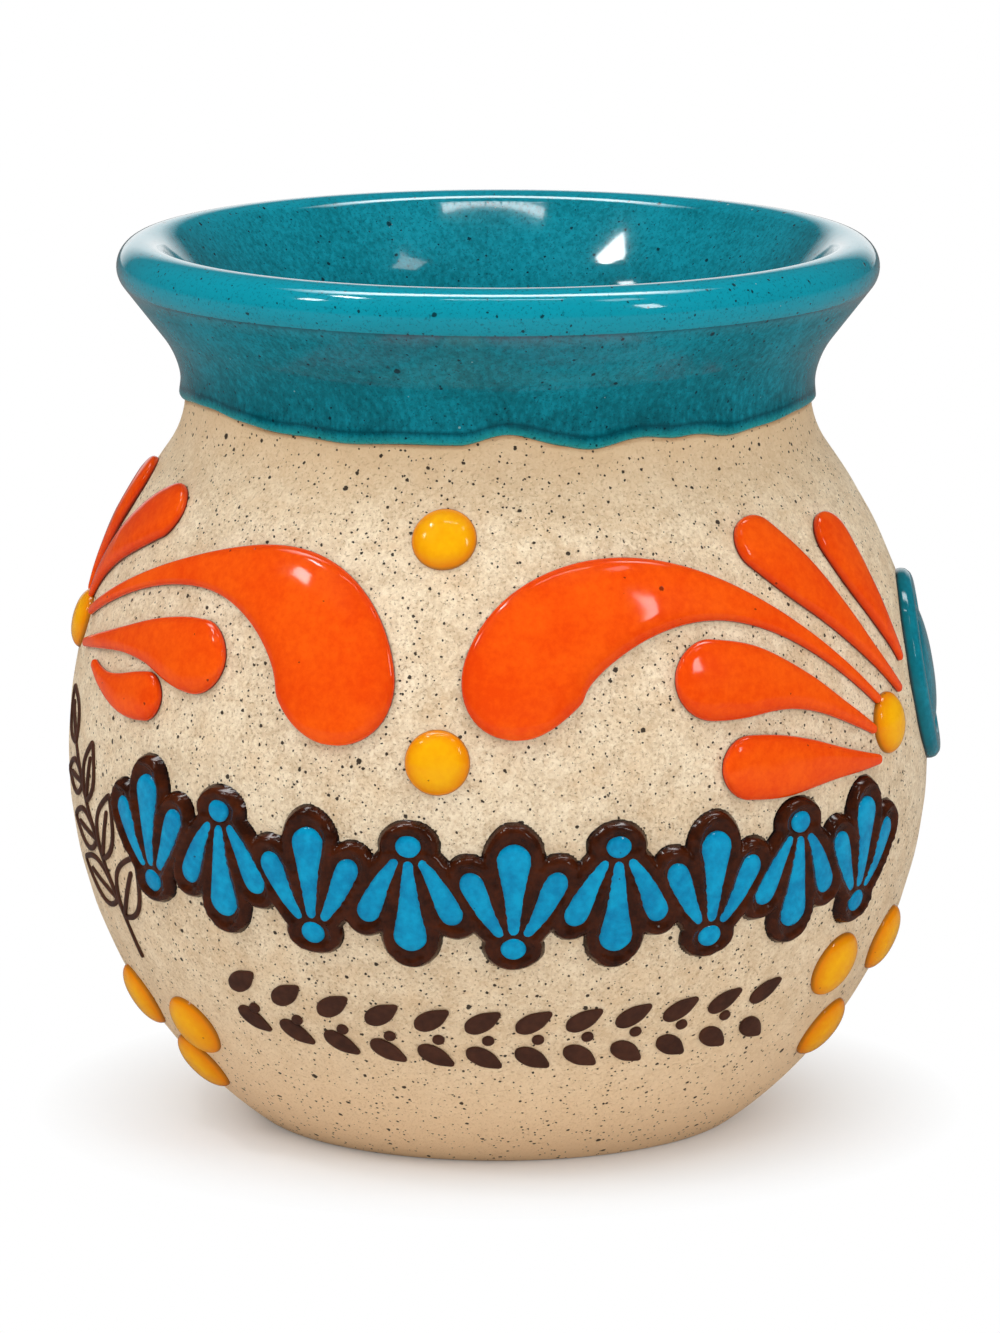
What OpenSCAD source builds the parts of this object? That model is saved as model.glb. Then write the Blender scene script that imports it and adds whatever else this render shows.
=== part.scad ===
// Jarrito clay mug: a round-bellied jar with a flared neck, a thick rounded rim and a pulled handle,
// a glaze dip over the neck and the inside, and raised enamel ornament on the front.
// Heights start at the table. Angles start at the front (-Y) and grow to the viewer's right (+X).

/* [Body] */
// Outer radius of the belly at its widest
belly_r = 44.9; // [42:0.1:50]
// Height of the widest point above the table
belly_z = 38.2; // [34:0.1:44]
// Height of the shoulder, from the widest point up to the waist
shoulder_h = 38; // [34:0.1:44]
// Thickness of the clay wall, which also rounds the rim
wall_t = 4.9; // [3.8:0.1:5.6]

/* [Neck and rim] */
// Outer radius of the clay at the waist
waist_r = 32.4; // [29:0.1:35]
// Height of the neck, from the waist up to the top of the glazed rim
neck_h = 15.8; // [14:0.1:19]
// How far the clay rim reaches out past the waist
rim_flare = 6.7; // [4:0.1:8]

/* [Foot and floor] */
// Radius at which the belly turns into the foot
foot_r = 24.7; // [22:0.1:28]
// Height of the inside floor above the table
floor_z = 6.5; // [5.5:0.1:9]
// Fillet between the floor and the inside wall
floor_fillet_r = 8; // [4:0.5:12]
// Rounding of the foot's outer edge
foot_fillet_r = 1.5; // [0.8:0.1:3]
// Width of the ring that the mug stands on
foot_ring_w = 4.6; // [3:0.1:7]
// Depth of the recess inside the foot ring
foot_recess = 1.8; // [1:0.1:2.6]

/* [Glaze] */
// Thickness of the glaze coats
glaze_t = 0.35; // [0.2:0.05:0.6]
// How far the dip line lies below the waist
dip_drop = 0.8; // [-1:0.1:2]
// How far a full wave strays from the dip line
dip_wave = 1.2; // [0:0.1:1.6]

/* [Handle] */
// How far the handle's upper root lies below the waist
handle_drop = 9.2; // [8:0.1:14]
// Height of the handle, from the lower root to the upper root
handle_h = 40; // [34:0.5:46]
// How far the handle reaches past the belly
handle_reach = 28; // [22:0.5:36]
// Width of the strap at its upper root
handle_top_w = 17; // [12:0.5:20]
// Width of the strap at its lower root
handle_low_w = 13.5; // [10:0.5:18]
// Thickness of the strap
handle_t = 7.4; // [5.5:0.1:9]

/* [Raised petals] */
// Largest width of the two scrolls
scroll_w = 13; // [10:0.5:14]
// Largest width of a petal
petal_w = 8.2; // [6:0.1:8.8]
// How far a full petal stands off the clay
relief_h = 1.2; // [0.6:0.1:1.8]

/* [Dots and roundel] */
// Diameter of the two dots on the centre line
centre_dot_d = 6.6; // [4:0.1:8]
// Diameter of the dots where the petals meet
hub_dot_d = 6.4; // [4:0.1:7]
// Diameter of the low dots that lie in threes
triad_dot_d = 7.3; // [4:0.1:8.5]
// How far the dots stand off the clay
dot_h = 1.35; // [0.8:0.05:1.9]
// Diameter of the roundel on the side
roundel_d = 20; // [14:0.5:22]
// How far the roundel stands off the clay
roundel_h = 1.3; // [0.8:0.1:2]

/* [Palmette band] */
// Height of a palmette from its root bead to its crown
palmette_h = 12.6; // [10:0.1:14]
// Width of the middle drop's head
drop_w = 3.7; // [2.6:0.1:4]
// Width of the brown ground left round the drops
ground_margin = 1.3; // [0.8:0.1:1.8]
// Thickness of the brown ground
ground_h = 0.35; // [0.2:0.05:0.6]
// Thickness of the blue drops on the ground
drop_h = 0.7; // [0.4:0.05:1]
// Diameter of a root bead
bead_d = 2.6; // [1.8:0.1:3]

/* [Leaf row] */
// Length of a leaf in the lower row
leaf_l = 4.2; // [3:0.1:5.4]
// Width of a leaf in the lower row
leaf_w = 2.3; // [1.2:0.1:2.6]
// Thickness of the brown slip of the lower row
leaf_h = 0.3; // [0.15:0.05:0.5]

/* [Hidden] */
$fn = 120;

// Clearance under everything that sits on the clay
seat_gap = 0.05;
// How far a cutting solid runs past what it cuts
overrun = 2;
// Turn of an outline's arcs from one point to the next
arc_step_angle = 3;
// A full turn, and the length of one degree on a unit circle
turn = 360;
degree = PI / 180;

// The wall's outline is made of arcs that meet smoothly: the lower belly, the shoulder, the hollow waist,
// the straight flare and the round rim. The inside follows the same centres, one wall further in.
waist_z = belly_z + shoulder_h;
rim_arc_r = wall_t / 2;
rim_c = [waist_r + rim_flare - rim_arc_r, waist_z + neck_h - glaze_t - rim_arc_r];
waist_arc_share = 0.652;
waist_arc_r = waist_arc_share * neck_h;
waist_c = [waist_r + waist_arc_r, waist_z];
shoulder_in = waist_c[0] - belly_r;
shoulder_up = waist_z - belly_z;
shoulder_arc_r = (shoulder_in ^ 2 + shoulder_up ^ 2 - waist_arc_r ^ 2) / (2 * (waist_arc_r - shoulder_in));
shoulder_c = [belly_r - shoulder_arc_r, belly_z];
shoulder_a = atan2(waist_c[1] - shoulder_c[1], waist_c[0] - shoulder_c[0]);
flare_a = atan2(waist_c[1] - rim_c[1], waist_c[0] - rim_c[0])
    + acos((rim_arc_r + waist_arc_r) / norm(waist_c - rim_c));
shoulder_top_z = shoulder_c[1] + shoulder_arc_r * sin(shoulder_a);
flare_low_z = waist_c[1] - waist_arc_r * sin(flare_a);

foot_c = [foot_r, foot_fillet_r];
foot_in = belly_r - foot_r;
foot_down = belly_z - foot_fillet_r;
lower_arc_r = (foot_in ^ 2 + foot_down ^ 2 - foot_fillet_r ^ 2) / (2 * (foot_in - foot_fillet_r));
lower_c = [belly_r - lower_arc_r, belly_z];
foot_a = atan2(foot_c[1] - lower_c[1], foot_c[0] - lower_c[0]);
foot_in_r = foot_r - foot_ring_w;
inner_arc_r = lower_arc_r - wall_t;
floor_c_z = floor_z + floor_fillet_r;
floor_c = [lower_c[0] + sqrt((inner_arc_r - floor_fillet_r) ^ 2 - (belly_z - floor_c_z) ^ 2), floor_c_z];
floor_a = atan2(floor_c[1] - lower_c[1], floor_c[0] - lower_c[0]);

// Points along an arc from angle a0 up to, but without, angle a1
function arc(c, r, a0, a1) =
    let (steps = ceil(abs(a1 - a0) / arc_step_angle))
    [for (i = [0 : steps - 1]) let (a = a0 + (a1 - a0) * i / steps) c + r * [cos(a), sin(a)]];

// The outside of the wall from the foot to the top of the waist, moved outwards by a coat
function outside_line(coat) = concat(
    arc(foot_c, foot_fillet_r + coat, -90, foot_a),
    arc(lower_c, lower_arc_r + coat, foot_a, 0),
    arc(shoulder_c, shoulder_arc_r + coat, 0, shoulder_a),
    arc(waist_c, waist_arc_r - coat, shoulder_a + 180, flare_a + 180)
);

// The rim from the outer flare to the inner flare
function rim_line(coat) = concat(
    arc(rim_c, rim_arc_r + coat, flare_a, flare_a + 180),
    [rim_c - (rim_arc_r + coat) * [cos(flare_a), sin(flare_a)]]
);

// The inside of the wall from the flare down to the middle of the floor, moved inwards by a coat
function inside_line(coat) = concat(
    arc(waist_c, waist_arc_r + wall_t + coat, flare_a + 180, shoulder_a + 180),
    arc(shoulder_c, shoulder_arc_r - wall_t - coat, shoulder_a, 0),
    arc(lower_c, inner_arc_r - coat, 0, floor_a),
    arc(floor_c, floor_fillet_r - coat, floor_a, -90),
    [[floor_c[0], floor_z + coat], [0, floor_z + coat]]
);

function reversed(line) = [for (i = [len(line) - 1 : -1 : 0]) line[i]];

// Radius of the clay's outside at height z, and its outward normal there
function skin_r(z) =
    z < belly_z ? lower_c[0] + sqrt(lower_arc_r ^ 2 - (z - belly_z) ^ 2)
    : z < shoulder_top_z ? shoulder_c[0] + sqrt(shoulder_arc_r ^ 2 - (z - belly_z) ^ 2)
    : waist_c[0] - sqrt(waist_arc_r ^ 2 - (z - waist_z) ^ 2);
function skin_n(z) =
    z < belly_z ? ([skin_r(z), z] - lower_c) / lower_arc_r
    : z < shoulder_top_z ? ([skin_r(z), z] - shoulder_c) / shoulder_arc_r
    : (waist_c - [skin_r(z), z]) / waist_arc_r;

// The point that stands off the clay by lift, at an angle and a height
function on_skin(a, z, lift) =
    let (n = skin_n(z), q = skin_r(z) + lift * n[0])
    [q * sin(a), -q * cos(a), z + lift * n[1]];

// The angle and height of a point of the skin moved sideways and upwards along it
function moved(place, side, up) =
    let (rise = up * skin_n(place[1])[0])
    [place[0] + side / (skin_r(place[1] + rise / 2) * degree), place[1] + rise];

// A smooth curve through the rows of a table, at a share u of its way
function row(table, i) = table[max(0, min(len(table) - 1, i))];
function along(table, u) =
    let (
        last = len(table) - 1,
        i = min(floor(u * last), last - 1),
        f = u * last - i,
        p0 = row(table, i - 1),
        p1 = row(table, i),
        p2 = row(table, i + 1),
        p3 = row(table, i + 2)
    )
    p1 + f / 2 * (p2 - p0 + f * (2 * p0 - 5 * p1 + 4 * p2 - p3 + f * (3 * p1 - p0 - 3 * p2 + p3)));

// Closes a stack of rings with a point at each end: rings are listed round, one after the other,
// then the first point and the last point
function skin_faces(rings, round) = concat(
    [for (i = [0 : rings - 2], j = [0 : round - 1])
        let (a = i * round + j, b = i * round + (j + 1) % round)
        each [[a, b, b + round], [a, b + round, a + round]]],
    [for (j = [0 : round - 1]) [rings * round, (j + 1) % round, j]],
    [for (j = [0 : round - 1])
        let (base = (rings - 1) * round)
        [rings * round + 1, base + j, base + (j + 1) % round]]
);

// Fullness of a domed section: 2 is an ellipse, more is flatter with steeper sides
dome_power = 2.6;
// How quickly a narrow stretch of a petal gets lower than a full one
slim_power = 0.4;

// Roundness of a stroke's end, a share x of the end's radius away from its tip
function end_share(x) = x >= 1 ? 1 : sqrt(x * (2 - x));

// A domed stroke on the clay. Each row of the table is an angle, a share of the waist's height and a
// share of the stroke's full width.
module stroke(table_shares, full_w, high, wide_ref, base, rings, top, bottom) {
    function place(u) = let (p = along(table_shares, u)) [p[0], p[1] * waist_z];
    function at(u) = let (p = place(u)) on_skin(p[0], p[1], 0);
    function plain_w(u) = along(table_shares, u)[2] * full_w;
    start_r = plain_w(0) / 2;
    end_r = plain_w(1) / 2;
    function width(u) = plain_w(u)
        * end_share(norm(at(u) - at(0)) / start_r)
        * end_share(norm(at(u) - at(1)) / end_r);
    function ring(u) =
        let (
            step = 1 / (8 * rings),
            p = place(u),
            n = skin_n(p[1]),
            back = place(max(0, u - step)),
            ahead = place(min(1, u + step)),
            run = [(ahead[0] - back[0]) * skin_r(p[1]) * degree, (ahead[1] - back[1]) / n[0]],
            way = run / norm(run),
            w = width(u),
            lift = high * min(1, w / wide_ref) ^ slim_power
        )
        concat(
            [for (j = [0 : top])
                let (
                    c = cos(180 * j / top),
                    s = sin(180 * j / top),
                    off = sign(c) * abs(c) ^ (2 / dome_power) * w / 2,
                    q = moved(p, way[1] * off, -way[0] * off)
                )
                on_skin(q[0], q[1], base + lift * s ^ (2 / dome_power))],
            [for (j = [1 : bottom - 1])
                let (
                    off = (2 * j / bottom - 1) * w / 2,
                    q = moved(p, way[1] * off, -way[0] * off)
                )
                on_skin(q[0], q[1], base)]
        );
    round = top + bottom;
    shares = [for (i = [1 : rings]) (1 - cos(180 * i / (rings + 1))) / 2];
    first = place(0);
    last = place(1);
    polyhedron(
        points = concat(
            [for (u = shares) each ring(u)],
            [on_skin(first[0], first[1], base), on_skin(last[0], last[1], base)]
        ),
        faces = skin_faces(rings, round),
        convexity = 6
    );
}

// A petal or scroll as fine as its size asks for
petal_ring_count = 15;
petal_crown_count = 6;
petal_base_count = 4;
module petal(table_shares, full_w) {
    stroke(
        table_shares, full_w, relief_h, petal_w, seat_gap,
        petal_ring_count, petal_crown_count, petal_base_count
    );
}

// The solid of revolution inside the clay's outside
module envelope() {
    rotate_extrude($fn = 480)
        polygon(concat([[0, 0]], outside_line(0), [[0, flare_low_z]]));
}

// A round dot of enamel: a cap of a ball that sits on the clay
module dot(a, z_share, d, high) {
    z = z_share * waist_z;
    half = d / 2;
    ball_r = (half ^ 2 + high ^ 2) / (2 * high);
    difference() {
        translate(on_skin(a, z, high - ball_r))
            sphere(r = ball_r);
        envelope();
    }
}

module clay_body() {
    color("#dcc9a4")
        rotate_extrude()
            polygon(concat(
                outside_line(0),
                rim_line(0),
                inside_line(0),
                [[0, foot_recess], [foot_in_r - foot_recess, foot_recess], [foot_in_r, 0]]
            ));
}

// Handle: a pulled strap that leaves the shoulder, rises a little, turns down and runs back into the belly.
// Each row is a share of the reach past the belly and a share of the height between the roots.
handle_low_z = waist_z - handle_drop - handle_h;
handle_path_shares = [
    [-0.46, 0.94], [-0.22, 1.02], [0.10, 1.12], [0.42, 1.12], [0.70, 0.97],
    [0.85, 0.72], [0.86, 0.47], [0.74, 0.23], [0.46, 0.06], [0.12, -0.02], [-0.14, -0.04],
];
// How much wider and thicker the strap gets where it is pressed on, and over which share of its way
root_flare_share = 0.28;
root_reach_share = 0.16;
strap_ring_count = 28;
strap_side_count = 18;

module handle_strap() {
    rings = strap_ring_count;
    round = strap_side_count;
    function centre(u) =
        let (p = along(handle_path_shares, u))
        [belly_r + handle_reach * p[0], handle_low_z + handle_h * p[1]];
    function flare(u) = 1 + root_flare_share * max(0, 1 - min(u, 1 - u) / root_reach_share) ^ 2;
    function ring(u) =
        let (
            c = centre(u),
            run = centre(min(1, u + 1 / rings)) - centre(max(0, u - 1 / rings)),
            way = run / norm(run),
            half_w = (handle_top_w + (handle_low_w - handle_top_w) * u) / 2 * flare(u),
            half_t = handle_t / 2 * flare(u)
        )
        [for (j = [0 : round - 1])
            let (
                a = turn * j / round,
                x = half_w * sign(cos(a)) * abs(cos(a)) ^ (2 / dome_power),
                t = half_t * sign(sin(a)) * abs(sin(a)) ^ (2 / dome_power)
            )
            [x, c[0] - way[1] * t, c[1] + way[0] * t]];
    steps = [for (i = [0 : rings - 1]) i / (rings - 1)];
    polyhedron(
        points = concat(
            [for (u = steps) each ring(u)],
            [for (u = [0, 1]) [0, centre(u)[0], centre(u)[1]]]
        ),
        faces = skin_faces(rings, round),
        convexity = 6
    );
}

module handle() {
    color("#d6c29c")
        difference() {
            handle_strap();
            envelope();
        }
}

module inner_glaze() {
    color("#1b8f99")
        rotate_extrude()
            polygon(concat(
                [rim_c - rim_arc_r * [cos(flare_a), sin(flare_a)]],
                inside_line(0),
                reversed(inside_line(glaze_t)),
                [rim_c - (rim_arc_r + glaze_t) * [cos(flare_a), sin(flare_a)]]
            ));
}

// The dip line rises and falls in soft waves. Each row is an angle, a half width in degrees and a share
// of the full wave by which the line rises there.
dip_wave_shares = [
    [11, 9, 1.0], [25, 8, -0.35], [37, 7, 0.25], [58, 12, -0.4], [80, 12, 0.1], [104, 14, -0.3],
    [128, 12, 0.3], [150, 12, -0.4], [176, 14, 0.3], [203, 13, -0.35], [228, 12, 0.25], [252, 14, -0.2],
    [278, 12, 0.1], [303, 22, 0.7], [340, 16, -0.25],
];
function lobe(x) = abs(x) >= 1 ? 0 : (1 + cos(180 * x)) / 2;
function apart(a, b) = (a - b + 2.5 * turn) % turn - turn / 2;
function dip_line(a) = waist_z - dip_drop + dip_wave
    * [for (r = dip_wave_shares) lobe(apart(a, r[0]) / r[1]) * r[2]] * [for (r = dip_wave_shares) 1];

// Everything below the dip line, as a thick wavy ring that trims the coat
dip_step_count = 120;
module below_dip() {
    steps = dip_step_count;
    inner = waist_r - wall_t;
    outer = belly_r;
    low = shoulder_top_z - overrun;
    function at(i, r, z) = let (a = turn * i / steps) [r * sin(a), -r * cos(a), z];
    function high(i) = dip_line(turn * i / steps);
    polyhedron(
        points = [for (i = [0 : steps - 1])
            each [at(i, inner, low), at(i, outer, low), at(i, outer, high(i)), at(i, inner, high(i))]],
        faces = [for (i = [0 : steps - 1], j = [0 : 3])
            let (
                here = 4 * i,
                next = 4 * ((i + 1) % steps),
                k = (j + 1) % 4
            )
            each [[here + j, here + k, next + k], [here + j, next + k, next + j]]],
        convexity = 4
    );
}

module neck_glaze() {
    skirt_a = shoulder_a + 180;
    color("#1b8f99")
        difference() {
            rotate_extrude()
                polygon(concat(
                    arc(waist_c, waist_arc_r, skirt_a, flare_a + 180),
                    rim_line(0),
                    reversed(rim_line(glaze_t)),
                    reversed(arc(waist_c, waist_arc_r - glaze_t, skirt_a, flare_a + 180))
                ));
            below_dip();
        }
}

// Scrolls and petals, from the middle of the round end's outline to the tip of the tail.
// Each row is an angle, a share of the waist's height and a share of the full width.
scroll_left_shares = [
    [-13.0, 0.613, 1.00], [-13.0, 0.686, 1.01], [-15.0, 0.740, 0.97], [-18.6, 0.776, 0.91],
    [-23.0, 0.799, 0.78], [-28.4, 0.812, 0.58], [-34.0, 0.815, 0.39], [-40.3, 0.811, 0.25],
    [-49.7, 0.791, 0.15], [-59.8, 0.756, 0.11], [-71.5, 0.708, 0.08],
];
scroll_right_shares = [
    [11.8, 0.627, 0.94], [11.8, 0.684, 0.97], [13.9, 0.735, 0.96], [18.6, 0.770, 0.90],
    [24.6, 0.793, 0.78], [31.0, 0.802, 0.62], [38.0, 0.799, 0.43], [45.6, 0.780, 0.26],
    [56.0, 0.728, 0.14], [70.2, 0.621, 0.08],
];
petal_left_outer_shares = [
    [-77.5, 0.905, 0.68], [-79.0, 0.866, 0.73], [-81.0, 0.820, 0.66], [-82.6, 0.777, 0.46],
    [-82.6, 0.743, 0.27], [-81.4, 0.718, 0.13],
];
petal_left_upper_shares = [
    [-51.0, 0.877, 0.71], [-55.5, 0.866, 0.77], [-60.5, 0.845, 0.76], [-65.5, 0.819, 0.63],
    [-70.0, 0.787, 0.46], [-73.2, 0.753, 0.27], [-75.6, 0.719, 0.13],
];
petal_left_middle_shares = [
    [-30.8, 0.703, 0.90], [-35.6, 0.703, 0.94], [-40.0, 0.706, 0.88], [-45.0, 0.710, 0.63],
    [-50.0, 0.706, 0.44], [-56.0, 0.697, 0.28], [-69.5, 0.669, 0.12],
];
petal_left_low_shares = [
    [-41.8, 0.643, 0.59], [-45.0, 0.639, 0.62], [-48.5, 0.635, 0.59], [-52.5, 0.634, 0.45],
    [-57.5, 0.640, 0.24], [-62.5, 0.655, 0.12],
];
petal_right_outer_shares = [
    [69.4, 0.866, 0.71], [71.0, 0.825, 0.76], [73.1, 0.777, 0.63], [76.2, 0.722, 0.38],
    [78.4, 0.688, 0.22], [80.1, 0.659, 0.12],
];
petal_right_upper_shares = [
    [49.3, 0.873, 0.73], [52.6, 0.848, 0.77], [58.1, 0.802, 0.72], [62.2, 0.766, 0.56],
    [66.6, 0.723, 0.39], [70.8, 0.682, 0.23], [77.6, 0.623, 0.12],
];
petal_right_middle_shares = [
    [33.3, 0.698, 1.00], [39.0, 0.689, 1.01], [45.0, 0.684, 0.91], [50.0, 0.673, 0.63],
    [55.0, 0.655, 0.43], [60.0, 0.629, 0.27], [68.2, 0.585, 0.12],
];
petal_right_low_shares = [
    [39.1, 0.575, 0.76], [43.8, 0.572, 0.80], [48.8, 0.567, 0.78], [53.8, 0.564, 0.61],
    [58.8, 0.558, 0.40], [63.8, 0.551, 0.26], [69.0, 0.545, 0.12],
];

enamel = "#f0561d";
yolk = "#f7ae12";

module scroll_left() {
    color(enamel) petal(scroll_left_shares, scroll_w);
}

module scroll_right() {
    color(enamel) petal(scroll_right_shares, scroll_w);
}

module petal_left_outer() {
    color(enamel) petal(petal_left_outer_shares, petal_w);
}

module petal_left_upper() {
    color(enamel) petal(petal_left_upper_shares, petal_w);
}

module petal_left_middle() {
    color(enamel) petal(petal_left_middle_shares, petal_w);
}

module petal_left_low() {
    color(enamel) petal(petal_left_low_shares, petal_w);
}

module petal_right_outer() {
    color(enamel) petal(petal_right_outer_shares, petal_w);
}

module petal_right_upper() {
    color(enamel) petal(petal_right_upper_shares, petal_w);
}

module petal_right_middle() {
    color(enamel) petal(petal_right_middle_shares, petal_w);
}

module petal_right_low() {
    color(enamel) petal(petal_right_low_shares, petal_w);
}

// Dots: each row is an angle and a share of the waist's height
centre_dot_shares = [[0.6, 0.875], [1.2, 0.598]];
hub_dot_shares = [[-76.8, 0.690], [72.5, 0.588]];
triad_left_shares = [[-64.0, 0.189], [-46.2, 0.178], [-54.6, 0.108]];
triad_right_shares = [[65.3, 0.266], [82.5, 0.270], [73.7, 0.158]];

module centre_dot_upper() {
    color(yolk) dot(centre_dot_shares[0][0], centre_dot_shares[0][1], centre_dot_d, dot_h);
}

module centre_dot_lower() {
    color(yolk) dot(centre_dot_shares[1][0], centre_dot_shares[1][1], centre_dot_d, dot_h);
}

module hub_dot_left() {
    color(yolk) dot(hub_dot_shares[0][0], hub_dot_shares[0][1], hub_dot_d, dot_h);
}

module hub_dot_right() {
    color(yolk) dot(hub_dot_shares[1][0], hub_dot_shares[1][1], hub_dot_d, dot_h);
}

module triad_left() {
    color(yolk)
        for (p = triad_left_shares)
            dot(p[0], p[1], triad_dot_d, dot_h);
}

module triad_right() {
    color(yolk)
        for (p = triad_right_shares)
            dot(p[0], p[1], triad_dot_d, dot_h);
}

// A round relief from a table of shares of its radius and of its height, from the edge inwards.
// The underside has plain rings at shares of the radius.
module round_relief(a, z, d, high, base, profile_shares, under_shares, round) {
    function at(angle, share, lift) =
        let (q = moved([a, z], share * d / 2 * cos(angle), share * d / 2 * sin(angle)))
        on_skin(q[0], q[1], base + lift);
    under = [for (s = reversed(under_shares)) [s, 0]];
    rows = concat(under, profile_shares);
    polyhedron(
        points = concat(
            [for (r = rows, i = [0 : round - 1]) at(-turn * i / round, r[0], r[1] * high)],
            [at(0, 0, 0), at(0, 0, high * profile_shares[len(profile_shares) - 1][1])]
        ),
        faces = skin_faces(len(rows), round),
        convexity = 6
    );
}

// The roundel has a bead round its edge, a groove inside it and a low dome
roundel_place_shares = [96.5, 0.623];
roundel_profile_shares = [
    [1.00, 0.00], [0.99, 0.45], [0.95, 0.80], [0.87, 1.00], [0.78, 0.93], [0.71, 0.55],
    [0.64, 0.58], [0.50, 0.78], [0.28, 0.92],
];
roundel_under_shares = [0.72, 0.40];
roundel_side_count = 30;

module side_roundel() {
    color("#1898a4")
        round_relief(
            roundel_place_shares[0], roundel_place_shares[1] * waist_z, roundel_d, roundel_h, seat_gap,
            roundel_profile_shares, roundel_under_shares, roundel_side_count
        );
}

// Palmette band: palmettes stand upright and hang down in turn along a line that rises to the left end
// and a little to the right end, where it stays below the lowest petal
palmette_count = 9;
band_from_angle = -42.5;
band_to_angle = 64.5;
band_mid_z_share = 0.418;
band_left_rise_share = 0.046;
band_right_rise_share = 0.010;
band_pitch_angle = (band_to_angle - band_from_angle) / (palmette_count - 1);
function band_place(a) =
    let (
        x = 2 * (a - band_from_angle) / (band_to_angle - band_from_angle) - 1,
        rise_share = x < 0 ? band_left_rise_share : band_right_rise_share
    )
    [a, (band_mid_z_share + rise_share * x ^ 2) * waist_z];
function palmette_a(i) = band_from_angle + i * band_pitch_angle;
function palmette_way(i) = 1 - 2 * (i % 2);

// Drops of one palmette, from the head to the root. Each row is a share of the palmette's height
// sideways and upwards from its middle, and a share of the drop's width.
middle_drop_shares = [[0, 0.46, 0.94], [0, 0.33, 1.0], [0, 0.10, 0.70], [0, -0.30, 0.34]];
side_drop_shares = [[0.38, 0.22, 0.66], [0.31, 0.09, 0.72], [0.21, -0.12, 0.54], [0.09, -0.31, 0.30]];
bead_up_share = -0.41;
drop_ring_count = 7;
drop_crown_count = 4;
drop_base_count = 2;
bead_side_count = 12;
blue_base = seat_gap + ground_h + seat_gap;

function mirrored(table, side) = [for (r = table) [r[0] * side, r[1], r[2]]];
function palmette_drops() = [middle_drop_shares, side_drop_shares, mirrored(side_drop_shares, -1)];

// The same drop as a stroke's table, on the palmette with number i
function placed(table, i) =
    let (p = band_place(palmette_a(i)), way = palmette_way(i))
    [for (r = table)
        let (q = moved(p, r[0] * palmette_h, r[1] * way * palmette_h))
        [q[0], q[1] / waist_z, r[2]]];

module band_drops() {
    color("#1c9ad6")
        for (i = [0 : palmette_count - 1], d = palmette_drops())
            stroke(
                placed(d, i), drop_w, drop_h, drop_w, blue_base,
                drop_ring_count, drop_crown_count, drop_base_count
            );
}

bead_profile_shares = [[1.00, 0.00], [0.86, 0.62], [0.50, 0.92]];

module band_beads() {
    color("#1c9ad6")
        for (i = [0 : palmette_count - 1])
            let (
                p = band_place(palmette_a(i)),
                q = moved(p, 0, bead_up_share * palmette_way(i) * palmette_h)
            )
            round_relief(q[0], q[1], bead_d, drop_h, blue_base, bead_profile_shares, [], bead_side_count);
}

// Every round that the ground has to reach past: sideways in degrees from the band's start, upwards as
// a length from the band's line, and its radius
function ground_rounds() = [for (i = [0 : palmette_count - 1]) each
    let (way = palmette_way(i), scale_a = 1 / (skin_r(band_place(palmette_a(i))[1]) * degree))
    concat(
        [for (d = palmette_drops(), k = [1, 2])
            [palmette_a(i) + d[k][0] * palmette_h * scale_a, d[k][1] * way * palmette_h,
                d[k][2] * drop_w / 2 + ground_margin]],
        [[palmette_a(i), bead_up_share * way * palmette_h, bead_d / 2 + ground_margin]]
    )];
ground_core_share = 0.27;
// Columns and rows of the ground's net, and how its ends are rounded: over so many columns and
// from a small share of its reach
ground_column_count = 104;
ground_row_count = 4;
ground_end_count = 4;
ground_tip_share = 0.05;

// Reach of the ground above (way 1) or below (way -1) the band's line at angle a
function ground_reach(a, way, rounds) =
    let (r0 = skin_r(band_place(a)[1]) * degree)
    max(concat(
        [ground_core_share * palmette_h],
        [for (c = rounds)
            let (x = (a - c[0]) * r0)
            abs(x) < c[2] ? c[1] * way + sqrt(c[2] ^ 2 - x ^ 2) : 0]
    ));

module band_ground() {
    rounds = ground_rounds();
    head = side_drop_shares[0];
    edge_a = (head[0] * palmette_h + head[2] * drop_w / 2 + ground_margin) / (belly_r * degree);
    from_a = band_from_angle - edge_a;
    to_a = band_to_angle + edge_a;
    columns = ground_column_count;
    rows = ground_row_count;
    function column(i) =
        let (
            a = from_a + (to_a - from_a) * i / (columns - 1),
            p = band_place(a),
            up = ground_reach(a, 1, rounds),
            down = ground_reach(a, -1, rounds),
            tip = end_share(min(i, columns - 1 - i) / ground_end_count + ground_tip_share)
        )
        concat(
            [for (j = [0 : rows - 1])
                let (q = moved(p, 0, (-down + (up + down) * j / (rows - 1)) * tip))
                on_skin(q[0], q[1], seat_gap + ground_h)],
            [for (j = [rows - 1 : -1 : 0])
                let (q = moved(p, 0, (-down + (up + down) * j / (rows - 1)) * tip))
                on_skin(q[0], q[1], seat_gap)]
        );
    ends = [for (a = [from_a, to_a]) let (p = band_place(a)) on_skin(p[0], p[1], seat_gap + ground_h / 2)];
    color("#4a2415")
        polyhedron(
            points = concat([for (i = [0 : columns - 1]) each column(i)], ends),
            faces = skin_faces(columns, 2 * rows),
            convexity = 8
        );
}

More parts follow.
